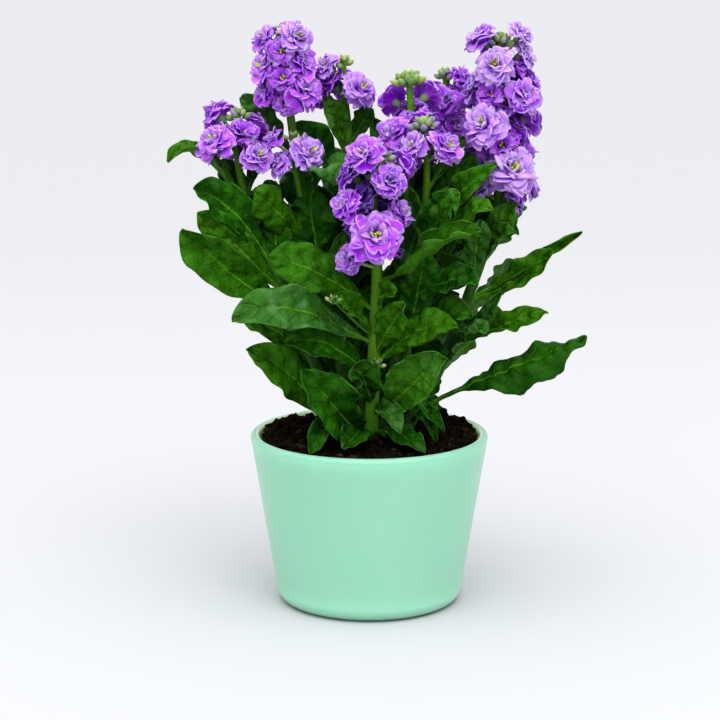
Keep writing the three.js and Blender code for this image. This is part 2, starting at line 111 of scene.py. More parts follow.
# A leaf's form is drawn from these, in this order, where the words of its row don't set it
MOOD_RANGES = {
    "bend": (0.15, 1.15), "twist": (-0.5, 0.5), "curl": (-0.24, 0.08), "ruffle": (0.06, 0.2),
}
PLAIN_MOOD = {"widest": 1.75, "neck": 0.0, "pucker": 1.0}
# The words set a leaf's colour, its cup, its twist, the curl of its tip, the ruffle of its
# margin, how crumpled it is, where it is widest and how far its stalk reaches. The colour
# words are partly the leaf's own colour and partly painted light: deep for leaves in shade,
# fresh, grey and bright for leaves that catch the light.
WORDS = {
    "deep": {"grey": 0.1, "fresh": 0.0},
    "grey": {"grey": 1.0, "fresh": 0.0},
    "fresh": {"grey": 0.1, "fresh": 0.9},
    "middling": {"grey": 0.1, "fresh": 0.5},
    "bright": {"grey": 0.75, "fresh": 0.75},
    "cupped": {"bend": 1.2},
    "open": {"bend": 0.3},
    "turned": {"twist": 0.75, "bend": 1.0},
    "curled": {"curl": -0.16},
    "flat": {"curl": 0.0, "twist": 0.0},
    "folded": {"bend": 1.5, "curl": 0.0},
    "rolled": {"bend": 2.1, "curl": -0.05},
    "ruffled": {"ruffle": 0.32},
    "domed": {"bend": -0.9},
    "smooth": {"ruffle": 0.03, "pucker": 0.65},
    "strap": {"widest": 0.95},
    "drooping": {"bend": -1.0},
    "stalked": {"widest": 1.3, "neck": 0.5},
}
# The small leaves in the plant's dark inside: the heights that they fill, its left and right
# edges at some heights, and the ranges in which their places and sizes are drawn
INNER = Sizes(
    bottom=112, top=250, step=14, detail=(18, 9), lowest_join=96, lift_near=3,
    heights=(100, 117, 150, 180, 210, 235, 250), left=(-30, -40, -50, -58, -60, -52, -36),
    right=(30, 36, 50, 56, 62, 54, 34), shift=(-3, 3), depth=(6, 46), stray=(-4, 4),
    drop=(22, 34), back=26, facing_front=(20, 75), facing_back=(-70, -20),
    width=(19, 25), lift_far=(2, 8),
)

# How far below its centre, as a share of its radius, a flower leaves the stem, how far below
# the stem's tip the highest one leaves it, and the inner flowers close round the stem
HEAD = Sizes(
    droop=0.7, last_flower=11, inner_top=6, inner_gap=7.5, inner_turn=(0, 0.8),
    inner_reach=6.5, inner_radius=10, inner_vary=(0.9, 1.1),
)
# How open a flower is: a range for faded ones, one number for others that are hidden, and the
# range over which the heart grows to its full length. Below 0 a flower is painted darker:
# faded ones for their colour, hidden ones as painted shade inside the head.
BLOOM = Sizes(faded=(-1, -0.3), hidden=-0.3, open_over=(0.3, 0.5))
# The whorls of petals of a double flower, from outside in: how many, and as shares of the
# flower's radius their reach, the rise of their tips, their half-width and their arch
WHORLS = (
    (5, 1.00, -0.10, 0.56, 0.30),
    (5, 0.92, 0.08, 0.53, 0.42),
    (5, 0.78, 0.24, 0.46, 0.52),
    (5, 0.60, 0.38, 0.38, 0.56),
    (4, 0.40, 0.48, 0.29, 0.52),
    (3, 0.20, 0.48, 0.17, 0.42),
)
# Petals, calyces and hearts have their lengths as shares of the flower's radius, but for the
# thickness and the radii of the stalk.
PETAL = Sizes(
    thick=0.34, outer=(8, 13), inner=(6, 9), hidden=(5, 7), hidden_whorls=4,
    crowding=1.8, reach=(0.8, 1.06), rise=(-0.16, 0.18), half=(0.8, 1.14),
    turn=(-0.3, 0.3), foot=(0.06, -0.42), bow=(0.3, 0.04), claw=0.15,
    claw_over=(0.08, 0.6), round_from=0.6, round=(0.95, 2.4), end_power=4,
    notch=0.05, notch_width=0.25, scallops=((0.05, 0, 4.2), (0.02, 0, 7)), ruffle=0.12,
    ruffles=((1.0, 2.6, 3.0), (0.65, -2.5, 6.4)), ruffle_edge=(0.35, 0.65),
    ruffle_powers=(1.6, 0.7), curl=(-0.14, 0.10), cup=(0.10, 0.25), lean=(-0.5, 0.5),
    crease=0.05, crease_width=0.18, sway=(0.04, 4, 0),
)
CALYX = Sizes(
    foot=0.62, sag=0.03, stalk_radii=(0.8, 1.0), stalk_stations=7, rows=9,
    sides=12, length=0.5, girth=(0.08, 0.15), belly=0.62, lobes=(0.13, 4),
    ripe=(0.3, 0.7), tone=0.4, tip=0.55,
)
HEART = Sizes(
    count=5, foot=0.04, reach=(0.46, 0.6), spread=(0.08, 0.22), sides=6,
    girths=(0.035, 0.045, 0.06, 0.06, 0.025),
)

# Each stem has its path from the soil up, and its radius at the foot and at the tip. A leaf is
# [height where it joins, tip x, y, z, width, lift near the stem, lift near the tip, facing],
# with facing in degrees from upwards towards the front, and words for its look. A flower is
# [x, y, z, radius], and the small flowers close gaps between the others. The buds at the tip
# have a count, a size beside a full one's and a yellowness, and a side shoot is [height where
# it joins, tip x, y, z, count of its buds]. The tone makes a stem's flowers paler, or deeper
# where it is below 0, as painted light and shade: the right head paler as if more light falls
# on it, the front head deeper as if in shade. A stem that joins another is a side branch of it.
STEMS = {}
STEMS["front"] = {
    "path": [
        [1, -6, 92], [2, -12, 120], [3, -20, 154], [4, -28, 183], [3, -33, 207],
        [2, -35, 231], [6, -36, 250],
    ],
    "radius": [3.9, 2.1],
    "buds": (9, 0.95, 0.1),
    "tone": -0.55,
    "leaves": [
        [139, 18, -46, 173, 17, 2, 2, 70, "open"], [134, 42, -42, 166, 18, 4, 6, 55, "fresh open"],
        [152, -20, -48, 174, 14, 2, 10, 50, "fresh cupped"],
        [125, -43, -40, 151, 23, 10, 14, 60, "deep smooth"],
        [94, -31, -56, 138, 30, -12, -3, 75, "deep cupped"],
        [110, -6, -36, 135, 20, 2, 8, 70, "deep cupped"],
        [108, 40, -56, 146, 30, -8, 4, 70, "bright cupped"],
        [146, -70, -58, 170, 24, 8, 16, 62, "grey curled smooth"],
        [164, -52, -36, 196, 25, 6, 8, 58, "middling open"],
        [182, 57, -62, 214, 20, -6, 10, 22, "fresh rolled"], [168, 12, -48, 179, 11, 3, 5, 60],
        [95, -14, -50, 96, 16, 4, 5, 30, "deep"], [96, 28, -44, 97, 14, 2, 3, 30, "deep"],
        [104, 16, -40, 101, 14, 12, 13, 65, "grey cupped"],
    ],
    "flowers": [
        [-3, -48, 251, 11.5], [9, -50, 237, 11], [-12, -45, 224, 10], [3, -54, 210, 15],
        [-10, -44, 196, 9.5], [15, -38, 219, 9.5], [3, -22, 236, 11], [-5, -22, 212, 10.5],
        [17, -30, 244, 9.5], [-9, -30, 238, 10],
    ],
    "shoots": [[150, -19, -44, 175, 7], [132, 4, -26, 138, 6]],
}
STEMS["right"] = {
    "path": [
        [19, 4, 92], [33, 6, 117], [45, 4, 144], [55, 0, 173], [63, -2, 198], [69, -3, 225],
        [71, -2, 260], [70, 0, 291], [69, 0, 307],
    ],
    "radius": [3.6, 1.9],
    "buds": (14, 1.05, 0.0),
    "tone": 0.45,
    "leaves": [
        [103, 118, -6, 149, 25, 7, -4, 40, "deep ruffled flat drooping stalked"],
        [140, 96, -22, 163, 14, 4, 4, 45, "fresh flat"],
        [167, 100, 4, 194, 18, -6, -5, 55, "fresh cupped"],
        [167, 116, 8, 204, 9, -2, -1, 50, "fresh folded"],
        [152, 70, -24, 176, 10, -9, -8, 70, "grey folded"],
        [150, 61, -34, 153, 12, 8, 6, 60, "grey open"],
        [128, 50, -26, 150, 12, 2, 6, 60, "grey open smooth"],
        [176, 58, -26, 214, 14, 2, 6, 60, "grey"],
        [186, 75, -19, 222, 14, 2, 4, 66, "bright open smooth"], [186, 76, -26, 208, 13, 6, 8, 50],
        [196, 79, -14, 206, 10, 4, 6, 50], [98, 36, -26, 95, 11, 10, 8, 40, "deep folded"],
        [150, 86, 44, 177, 23, 6, 6, -60], [122, 76, 50, 148, 24, 6, 10, -62],
        [184, 84, 32, 214, 18, 2, 4, -55],
    ],
    "flowers": [
        [59, -2, 307, 10.5], [79, -5, 310, 8], [81, -1, 299, 9.5], [66, -15, 294, 12],
        [80, -13, 278, 11.5], [61, -17, 263, 13], [74, -18, 239, 15], [61, -6, 228, 10],
        [76, -4, 221, 8.5], [85, -1, 229, 8.5], [70, 14, 290, 12], [74, 14, 266, 11.4],
        [70, 13, 240, 11.4], [57, 3, 281, 10], [58, 8, 250, 9.5], [83, 4, 284, 10],
        [84, 2, 266, 10.5], [81, 2, 247, 9.5],
    ],
    "small_flowers": [[70, -14, 252, 10], [64, -12, 279, 9]],
}
STEMS["lefttall"] = {
    "path": [
        [-10, 4, 92], [-17, 6, 138], [-28, 8, 182], [-37, 10, 226], [-42, 10, 262],
        [-45, 9, 288], [-46, 8, 312],
    ],
    "radius": [3.6, 1.6],
    "buds": (8, 0.85, 0.2),
    "leaves": [
        [186, -62, -25, 229, 22, 6, 8, 62, "fresh domed smooth"],
        [214, -13, -24, 234, 22, 16, 26, 30, "grey open"], [238, -70, 26, 274, 17, 4, 6, 20],
        [150, -64, 52, 184, 24, 6, 8, -62], [182, -44, 62, 220, 22, 6, 6, -62],
        [122, -50, 54, 142, 24, 8, 10, -60], [164, -14, -6, 204, 10, 0, 4, 70],
        [168, -60, 34, 212, 24, 4, 6, 40, "deep"], [176, -33, -4, 227, 25, 0, 2, 82, "deep open"],
    ],
    "flowers": [
        [-39, -4, 308, 10.5], [-55, 6, 307, 9], [-55, 0, 292, 11], [-36, -2, 294, 10],
        [-54, 3, 279, 9.5], [-35, -3, 280, 12], [-45, 20, 302, 10], [-46, 21, 282, 11],
    ],
    "small_flowers": [[-46, -5, 301, 9], [-46, -6, 287, 9.5], [-44, -3, 273, 8]],
}
STEMS["leftlow"] = {
    "path": [
        [-13, -8, 92], [-28, -8, 130], [-45, -8, 171], [-60, -6, 204], [-68, -4, 230],
        [-71, -4, 252], [-70, -2, 268],
    ],
    "radius": [3.4, 1.5],
    "buds": (10, 0.95, 0.1),
    "leaves": [
        [222, -107, -14, 243, 13, 10, 25, 25, "fresh folded"],
        [184, -93, -22, 231, 24, 13, 11, 62, "deep flat smooth"],
        [178, -53, 0, 224, 19, 0, 2, 80, "deep open"],
        [172, -91, -21, 218, 20, 0, 2, 60, "fresh open smooth"],
        [210, -80, 6, 243, 13, 2, 4, 60, "grey open"],
        [206, -51, 4, 233, 12, 2, 4, 60, "grey open"], [174, -91, 2, 213, 18, 4, 4, 50, "deep"],
        [164, -99, -28, 211, 27, -8, -6, 62, "middling turned smooth"],
        [136, -68, -8, 160, 16, 2, 6, 55, "smooth"],
        [99, -58, -34, 149, 22, -2, 3, 62, "middling open smooth"],
        [96, -31, -46, 94, 14, 12, 10, 55, "deep"], [222, -57, 16, 250, 10, 4, 6, 0],
        [146, -70, 34, 170, 22, 6, 8, -50], [188, -88, 42, 226, 20, 4, 6, -50],
        [104, -52, 32, 118, 20, 8, 12, -45],
    ],
    "flowers": [
        [-80, -14, 254, 13], [-81, 2, 267, 10.5], [-61, -11, 246, 10.5], [-61, 6, 260, 9.5],
        [-75, 10, 250, 11],
    ],
}
STEMS["leftside"] = {
    "path": [[-33, 9, 206], [-37, 3, 224], [-40, 0, 240], [-41, 0, 256]],
    "radius": [1.8, 1.5],
    "buds": (6, 0.7, 0.2),
    "joins": "lefttall",
    "leaves": [],
    "flowers": [[-33, -8, 247, 11.5], [-51, -5, 254, 8], [-47, -6, 242, 8]],
}
STEMS["mid"] = {
    "path": [
        [-4, 12, 92], [-8, 18, 136], [-11, 24, 185], [-11, 26, 235], [-12, 24, 262],
        [-14, 22, 280], [-14, 22, 294],
    ],
    "radius": [3.3, 1.4],
    "buds": (8, 0.95, 0.5),
    "leaves": [
        [238, -22, 16, 275, 13, 4, 4, 65], [220, -40, 12, 262, 18, 6, 8, 55],
        [247, 2, 30, 268, 12, 2, 4, 50], [140, -14, 76, 164, 24, 8, 12, -65],
        [172, 6, 74, 210, 22, 6, 8, -68], [202, -24, 62, 242, 20, 6, 6, -65],
        [112, -16, 66, 122, 23, 12, 12, -55], [180, -27, 8, 225, 18, 4, 6, 74],
    ],
    "flowers": [[-22, 18, 291, 9], [-6, 15, 279, 12], [-14, 34, 280, 10], [-24, 26, 275, 9]],
}
STEMS["centre"] = {
    "path": [
        [8, 8, 92], [15, 8, 138], [20, 6, 194], [22, 4, 237], [22, 2, 268], [21, 2, 286],
    ],
    "radius": [3.3, 1.7],
    "buds": (26, 1.15, 0.65),
    "leaves": [
        [186, 33, -7, 230, 20, -2, 2, 85, "deep"], [218, 2, 24, 264, 15, 0, 2, 40],
        [160, 52, 0, 186, 18, 6, 8, 62], [150, 12, -10, 188, 20, 0, 4, 75],
        [205, 8, 38, 240, 19, 4, 6, -60],
    ],
    "flowers": [
        [31, 12, 277, 11], [13, 13, 274, 10], [14, -6, 257, 11.5], [18, -8, 243, 10.5],
        [29, 15, 254, 10],
    ],
}
STEMS["back"] = {
    "path": [
        [11, 20, 92], [29, 34, 133], [40, 42, 188], [44, 42, 239], [43, 40, 267], [42, 40, 286],
    ],
    "radius": [3.3, 1.9],
    "buds": (12, 0.95, 0.0),
    "leaves": [
        [118, 54, 66, 132, 23, 8, 10, -60], [132, 22, 84, 150, 24, 8, 12, -66],
        [158, 74, 78, 186, 24, 6, 8, -60], [184, 28, 86, 222, 22, 6, 8, -68],
        [206, 74, 66, 238, 19, 4, 6, -60],
    ],
    "flowers": [
        [50, 38, 283, 9.5], [42, 29, 271, 11], [55, 44, 272, 8.5], [47, 31, 259, 10],
        [42, 54, 270, 10.5], [38, 52, 257, 9],
    ],
}
STEMS["low"] = {
    "path": [
        [12, -6, 92], [19, -12, 136], [26, -16, 186], [30, -18, 229], [30, -18, 250],
        [29, -18, 264],
    ],
    "radius": [3.3, 1.2],
    "buds": (18, 1.15, 0.0),
    "leaves": [
        [204, 64, -34, 246, 17, 3, 3, 48, "middling strap cupped"],
        [203, 64, -38, 222, 15, 4, 8, 65, "fresh open"],
        [188, 44, -42, 228, 24, 4, 8, 70, "deep cupped"],
        [188, 47, -48, 231, 15, 6, 8, 62, "bright open flat smooth"],
        [228, 50, -14, 258, 8, 0, 4, 50], [204, 53, -5, 248, 16, 2, 4, 70, "deep open"],
        [172, 56, -42, 180, 18, 6, 10, 60], [200, 19, -26, 233, 9, 2, 2, 70],
        [112, 40, -29, 100, 10, 10, 8, 60, "deep folded"], [148, 54, -30, 164, 19, 4, 8, 55],
        [144, 30, -25, 198, 21, 0, 2, 82, "deep open"],
    ],
    "flowers": [[29, -8, 265, 8], [39, -26, 252, 11], [23, -25, 253, 9], [35, -8, 252, 9]],
}


def unit(vectors):
    return vectors / np.maximum(np.linalg.norm(vectors, axis=-1, keepdims=True), TINY)


def smoothstep(value, low, high):
    share = np.clip((value - low) / (high - low), 0, 1)
    return share * share * (3 - 2 * share)


def ramp(pair, share):
    """The first number, and as much of the second as the share says."""
    return pair[0] + pair[1] * share


def wave(sizes, along, across, start):
    """A wave that has its height, and how fast it turns along and across."""
    height, along_turns, across_turns = sizes
    return height * np.sin(along_turns * along + across_turns * across + start)


def phases(draw, count):
    return [draw.uniform(0, PHASE) for _ in range(count)]


def circle(sides):
    return np.linspace(0, TURN, sides, endpoint=False)


def spoke(turn):
    """The level direction at a turn, or at each of some turns."""
    return np.stack([np.cos(turn), np.sin(turn), 0 * turn], -1)


def round_about(side, other, turn):
    """The direction at a turn from one direction towards another, square to it."""
    return side * np.cos(turn) + other * np.sin(turn)


def quadratic(u, a, b, c):
    """A curve from a to c that is drawn towards b."""
    return a * (1 - u) ** 2 + b * 2 * u * (1 - u) + c * u * u


def cubic(u, a, b, c, d):
    """A curve from a to d that is drawn towards b and c, and its directions."""
    v = 1 - u
    points = v ** 3 * a + 3 * u * v ** 2 * b + 3 * u * u * v * c + u ** 3 * d
    return points, unit(v ** 2 * (b - a) + 2 * u * v * (c - b) + u * u * (d - c))


def smooth_path(points, count):
    """A centripetal Catmull-Rom curve through the points."""
    p = np.array(points, float)
    p = np.concatenate([[2 * p[0] - p[1]], p, [2 * p[-1] - p[-2]]])
    spans = len(p) - 3
    made = []
    for place in np.linspace(0, spans, count):
        i = min(int(place), spans - 1)
        u = place - i
        a, b, c, d = p[i:i + 4]
        ab, bc, cd = (np.linalg.norm(q) ** 0.5 for q in (b - a, c - b, d - c))
        m0 = ((b - a) / ab - (c - a) / (ab + bc) + (c - b) / bc) * bc
        m1 = ((c - b) / bc - (d - b) / (bc + cd) + (d - c) / cd) * bc
        square, cube = u * u, u * u * u
        made.append(
            b * (2 * cube - 3 * square + 1) + m0 * (cube - 2 * square + u)
            + c * (3 * square - 2 * cube) + m1 * (cube - square)
        )
    return np.array(made)


def place_on(path, height):
    """The point of a stem's path at a height."""
    return np.array([np.interp(height, path[:, 2], path[:, axis]) for axis in range(3)])


def add_object(name, data):
    made = bpy.data.objects.new(name, data)
    bpy.context.scene.collection.objects.link(made)
    return made


class Gather:
    """The points, faces and point values of the blades and tubes that make one mesh."""

    def __init__(self):
        self.points, self.faces, self.values, self.count = [], [], [], 0

    def add(self, points, blocks, **values):
        self.points.append(points)
        self.faces.extend(block + self.count for block in blocks)
        spread = {key: np.broadcast_to(value, len(points)) for key, value in values.items()}
        self.values.append(spread)
        self.count += len(points)

    def piece(self, name, look, slot, *nodes):
        """Makes the mesh, in metres, dresses it, and lets it stand for its solids."""
        mesh = bpy.data.meshes.new(name)
        faces = [face for block in self.faces for face in block.tolist()]
        mesh.from_pydata((np.concatenate(self.points) * MM).tolist(), [], faces)
        for key in self.values[0]:
            whole = np.concatenate([values[key] for values in self.values])
            layer = mesh.attributes.new(key, "FLOAT", "POINT")
            layer.data.foreach_set("value", whole.astype(np.float32))
        mesh.shade_smooth()
        mesh.materials.append(look)
        piece = add_object(name, mesh)
        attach(piece, "root")
        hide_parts(*nodes)


@functools.cache
def blade_faces(rows, columns):
    """The faces of a thin closed blade, whose two sheets share their outline, and its inside."""
    upper = np.arange(rows * columns).reshape(rows, columns)
    inside = np.zeros((rows, columns), bool)
    inside[1:-1, 1:-1] = True
    lower = upper.copy()
    lower[inside] = rows * columns + np.arange(inside.sum())

    def sheet(grid):
        corners = [grid[:-1, :-1], grid[1:, :-1], grid[1:, 1:], grid[:-1, 1:]]
        return np.stack(corners, -1).reshape(-1, 4)

    return np.concatenate([sheet(upper), sheet(lower)[:, ::-1]]), inside.ravel()


def add_blade(gather, grid, thickness, **values):
    """A closed blade over a grid of points, rows along it and columns across it."""
    rows, columns, _ = grid.shape
    faces, inside = blade_faces(rows, columns)
    face = unit(np.cross(np.gradient(grid, axis=0), np.gradient(grid, axis=1))).reshape(-1, 3)
    middle = grid.reshape(-1, 3)
    half = face * (np.broadcast_to(thickness, (rows, columns)).reshape(-1, 1) / 2)
    points = np.concatenate([middle + half * inside[:, None], (middle - half)[inside]])

    def both(value):
        flat = np.broadcast_to(value, (rows, columns)).ravel()
        return np.concatenate([flat, flat[inside]])

    # 1 on the lower sheet, 0 on the upper one, and between them along the outline
    under = np.concatenate([np.where(inside, 0, 0.5), np.ones(inside.sum())])
    spread = {key: both(value) for key, value in values.items()}
    gather.add(points, [faces], under=under, **spread)


@functools.cache
def ring_faces(rings, sides):
    """The faces of a closed body of rings, whose two end points come after the rings."""
    grid = np.arange(rings * sides).reshape(rings, sides)
    ahead = np.roll(grid, -1, axis=1)
    walls = np.stack([grid[:-1], ahead[:-1], ahead[1:], grid[1:]], -1).reshape(-1, 4)
    foot = np.stack([np.full(sides, rings * sides), ahead[0], grid[0]], -1)
    head = np.stack([np.full(sides, rings * sides + 1), grid[-1], ahead[-1]], -1)
    return [walls, foot, head]


def add_tube(gather, centres, radii, sides, **values):
    """A closed round tube. The radii are one for each ring, or one for each ring and side."""
    count = len(centres)
    along = unit(np.gradient(centres, axis=0))
    lean = np.array((1.0, 0, 0)) if abs(along[0][0]) < 0.9 else np.array((0, 1.0, 0))
    side = unit(lean - along * (along @ lean)[:, None])
    other = np.cross(along, side)
    reach = np.broadcast_to(np.asarray(radii, float).reshape(count, -1), (count, sides))[..., None]
    spokes = round_about(side[:, None], other[:, None], circle(sides)[None, :, None])
    rings = centres[:, None] + spokes * reach
    points = np.concatenate([rings.reshape(-1, 3), centres[:1], centres[-1:]])

    def whole(value):
        rows = np.broadcast_to(np.asarray(value, float).reshape(-1, 1), (count, sides))
        return np.concatenate([rows.ravel(), rows[0, :1], rows[-1, :1]])

    gather.add(points, ring_faces(count, sides), **{key: whole(value) for key, value in values.items()})


def add_twig(greens, root, end, sag, radii, stations, **values):
    """A thin stalk between two points, bowed down by the sag."""
    u = np.linspace(0, 1, stations)[:, None]
    centres = quadratic(u, root, (root + end) / 2 - UP * sag, end)
    add_tube(greens, centres, np.linspace(*radii, stations), TWIG_SIDES, ripe=0.0, **values)


def leaf_mood(words, draw):
    """A leaf's colour and form, drawn at random and then set by its words."""
    mood = {"grey": draw.random(), "fresh": draw.random() ** LEAF.fresh_rarity, **PLAIN_MOOD}
    mood.update({key: draw.uniform(*ends) for key, ends in MOOD_RANGES.items()})
    for word in " ".join(words).split():
        mood.update(WORDS[word])
    return mood


def leaf_half_width(w, width, mood):
    """Half a leaf's width along it: a narrow stalk, and a blade that is blunt at its tip."""
    shape = np.sin(math.pi * w ** mood["widest"]) ** LEAF.bluntness
    begun = smoothstep(w, mood["neck"] - LEAF.petiole_end, mood["neck"])
    narrow = LEAF.petiole_half * (1 - smoothstep(w, *LEAF.petiole_over))
    return np.maximum(narrow, LEAF.widen * width / 2 * shape * begun)


def leaf_relief(w, s, half, width, join, phase, mood):
    """How far a full-grown blade rises off its arc, and its swelling between the side veins."""
    away, hand = np.abs(s), np.sign(s)
    edge = wave(LEAF.wave, w, s, hand + join)
    ruffle = (mood["ruffle"], LEAF.ruffles, 0)
    edge = edge + wave(ruffle, w, s, phase[0] * hand + phase[1])
    margin = half * (away ** LEAF.wave_edge * edge + LEAF.shoulder * np.sin(math.pi * away))
    vein_turn = math.pi * (w * LEAF.veins - away * LEAF.vein_slant)
    vein_turn = vein_turn + wave(LEAF.vein_sway, w, s, phase[2])
    swell = np.abs(np.sin(vein_turn)) * (LEAF.patch + wave(LEAF.patches, w, s, phase[4]))
    quilt = LEAF.quilt * (swell - 0.5) * away * (1 - away ** 3) * width / LEAF.quilt_width
    billow = wave(LEAF.billow, w, s, phase[3]) * (1 - away ** 2)
    rock = half * s * wave(LEAF.rock, w, s, phase[5])
    return margin + quilt + billow + rock, swell


def puckers(w, s, half, length, draw):
    """Waves of some lengths that cross a blade at random slants, each as high as it is long."""
    rise = 0
    for size in LEAF.puckers:
        slant, start = draw.uniform(0, math.pi), draw.uniform(0, PHASE)
        turns = (size, math.cos(slant) * TURN / size, math.sin(slant) * TURN / size)
        rise = rise + wave(turns, w * length, s * half, start)
    return rise


def add_leaf(gather, path, row, draw, detail=LEAF.detail):
    """One leaf: a stalk that widens to a cupped and waved blade with a sunken midrib."""
    join, x, y, z, width, lift_near, lift_far, facing, *words = row
    mood = leaf_mood(words, draw)
    phase = phases(draw, 8)
    root, tip = place_on(path, join), np.array((x, y, z), float)
    near = root + (tip - root) / 3 + UP * lift_near
    far = root + (tip - root) * 2 / 3 + UP * lift_far
    w, s = np.linspace(0, 1, detail[0])[:, None], np.linspace(-1, 1, detail[1])
    w = (1 - (1 - w) ** LEAF.crowding[0]) * LEAF.last
    s = np.sign(s) * np.abs(s) ** LEAF.crowding[1]
    middle, along = cubic(w, root, near, far, tip)
    turn = math.radians(facing)
    face = np.array((0, -math.sin(turn), math.cos(turn)))
    up = unit(face - along * (along @ face)[:, None])
    across = np.cross(up, along)
    twist = mood["twist"] * smoothstep(w, *LEAF.twist_over)
    up, across = round_about(up, across, twist), round_about(across, -up, twist)
    half = leaf_half_width(w, width, mood)
    growth = smoothstep(w, *LEAF.cup_over)
    # The cross-section is an arc, deeper on some leaves than on others, with an uneven margin
    bend = mood["bend"] * growth + LEAF.least_bend
    uneven = wave(LEAF.bays, w, s, phase[6] + LEAF.bay_offset * np.sign(s))
    uneven = uneven + wave(LEAF.nicks, w, s, phase[7] * np.sign(s))
    side = half * np.sin(bend * s) / bend * (1 + uneven * growth)
    # The blade swells between its side veins, and is sunk along them and its midrib
    length, dist = np.linalg.norm(tip - root), np.abs(s) * half
    relief, swell = leaf_relief(w, s, half, width, join, phase, mood)
    relief = relief + LEAF.pucker * mood["pucker"] * puckers(w, s, half, length, draw)
    rib = np.exp(-((dist / LEAF.rib) ** 2))
    rise = half * (1 - np.cos(bend * s)) / bend + growth * (relief - LEAF.groove * rib)
    rise = rise + mood["curl"] * length * smoothstep(w, *LEAF.curl_over)
    grid = middle[:, None] + across[:, None] * side[..., None] + up[:, None] * rise[..., None]
    stalk = (1 - np.clip(w / LEAF.petiole_end, 0, 1)) * np.sqrt(1 - s * s)
    height, fade = LEAF.rib_rise
    thick = LEAF.blade + (LEAF.petiole - LEAF.blade) * stalk + height * (1 - w) ** fade * rib
    # The high value says how raised the blade is between its veins; the look uses it for painted
    # highlight and painted shade.
    add_blade(
        gather, grid, thick,
        along=w, side=s, dist=dist, high=swell * growth, grey=mood["grey"], fresh=mood["fresh"],
    )


def inner_leaves(paths, draw):
    """Leaves that fill the plant's dark inside, kept within its outline: rows for each stem."""
    rows = {name: [] for name in paths}
    step = INNER.step
    for k, level in enumerate(np.arange(INNER.bottom, INNER.top, step)):
        left, right = (np.interp(level, INNER.heights, edge) for edge in (INNER.left, INNER.right))
        for x in np.arange(left + step / 2 * (k % 2), right, step):
            x = x + draw.uniform(*INNER.shift)
            y, z = draw.uniform(*INNER.depth), level + draw.uniform(*INNER.stray)
            join = max(INNER.lowest_join, z - draw.uniform(*INNER.drop))
            near = min(paths, key=lambda name: np.linalg.norm(place_on(paths[name], join) - (x, y, z)))
            facing = draw.uniform(*(INNER.facing_front if y < INNER.back else INNER.facing_back))
            width, lift_far = draw.uniform(*INNER.width), draw.uniform(*INNER.lift_far)
            # Painted shade: all inner leaves take the deep colour, for the plant's shaded inside.
            row = [join, x, y, z, width, INNER.lift_near, lift_far, facing, "deep"]
            rows[near].append(row)
    return rows


def inner_flowers(stem, path, draw):
    """Smaller flowers close to the stem, which close a head up between its outer ones."""
    heights = [row[2] for row in stem["flowers"]]
    low, high = min(heights), max(heights) - HEAD.inner_top
    count = 1 + int((high - low) / HEAD.inner_gap)
    rows = []
    for k in range(count):
        height = low + (high - low) * (k + 0.5) / count
        turn = k * SPIRAL + draw.uniform(*HEAD.inner_turn)
        x, y, _ = place_on(path, height) + HEAD.inner_reach * spoke(turn)
        rows.append([x, y, height, HEAD.inner_radius * draw.uniform(*HEAD.inner_vary)])
    return rows


def flower_frame(path, row):
    """Where a flower's stalk leaves its stem, the flower's centre, and its three directions."""
    x, y, z, radius = row
    centre = np.array((x, y, z), float)
    root = place_on(path, min(z - radius * HEAD.droop, path[-1][2] - HEAD.last_flower))
    out = unit(centre - root)
    side = unit(np.cross(UP, out))
    return root, centre, side, np.cross(out, side), out


def add_petal(gather, radius, centre, directions, whorl, level, detail, bloom, draw):
    """One petal: a narrow claw that widens to a round blade, ruffled and notched at its end."""
    _, reach, rise, half, arch = whorl
    reach = radius * reach * draw.uniform(*PETAL.reach)
    rise = radius * (rise + draw.uniform(*PETAL.rise))
    half = radius * half * draw.uniform(*PETAL.half)
    s, v = np.linspace(0, 1, detail[0])[:, None], np.linspace(-1, 1, detail[1])[None, :]
    s = 1 - (1 - s) ** PETAL.crowding
    end = s ** PETAL.end_power
    phase = phases(draw, 5)
    edge = -PETAL.notch * np.exp(-((v / PETAL.notch_width) ** 2))
    edge = edge + sum(wave(sizes, s, v, start) for sizes, start in zip(PETAL.scallops, phase[3:]))
    # The petal's middle line, outwards and upwards, and the direction square to it
    u = s * (1 + end * edge)
    foot = [share * radius for share in PETAL.foot]
    bow = (PETAL.bow[0] * reach + PETAL.bow[1] * radius, arch * radius)
    lines = list(zip(foot, bow, (reach, rise)))
    far = [quadratic(u, *line) for line in lines]
    run = [(1 - u) * (b - a) + u * (c - b) for a, b, c in lines]
    steep = np.hypot(*run) + TINY
    lift = (-run[1] / steep, run[0] / steep)
    claw = PETAL.claw + (1 - PETAL.claw) * smoothstep(s, *PETAL.claw_over)
    begin, (bite, power) = PETAL.round_from, PETAL.round
    round_end = np.sqrt(1 - (np.clip((s - begin) / (1 - begin), 0, 1) * bite) ** power)
    wide = half * claw * round_end
    ruffle = sum(wave(sizes, s, v, start) for sizes, start in zip(PETAL.ruffles, phase))
    along, across = PETAL.ruffle_powers
    edging = ramp(PETAL.ruffle_edge, np.abs(v) ** across)
    ruffle = ruffle * PETAL.ruffle * radius * s ** along * edging * round_end
    curl = draw.uniform(*PETAL.curl) * radius * end
    cup = ramp(PETAL.cup, level) * wide * v * v + draw.uniform(*PETAL.lean) * wide * v
    crease = -PETAL.crease * radius * s * np.exp(-((v / PETAL.crease_width) ** 2))
    swell = ruffle + cup + crease + curl
    aside = wide * v + radius * s * wave(PETAL.sway, s, v, phase[2])
    outwards, sideways, upwards = directions
    grid = (
        centre
        + outwards * (far[0] + lift[0] * swell)[..., None]
        + upwards * (far[1] + lift[1] * swell)[..., None]
        + sideways * aside[..., None]
    )
    add_blade(gather, grid, PETAL.thick, along=s, side=v, tone=draw.random(), inner=level, bloom=bloom)


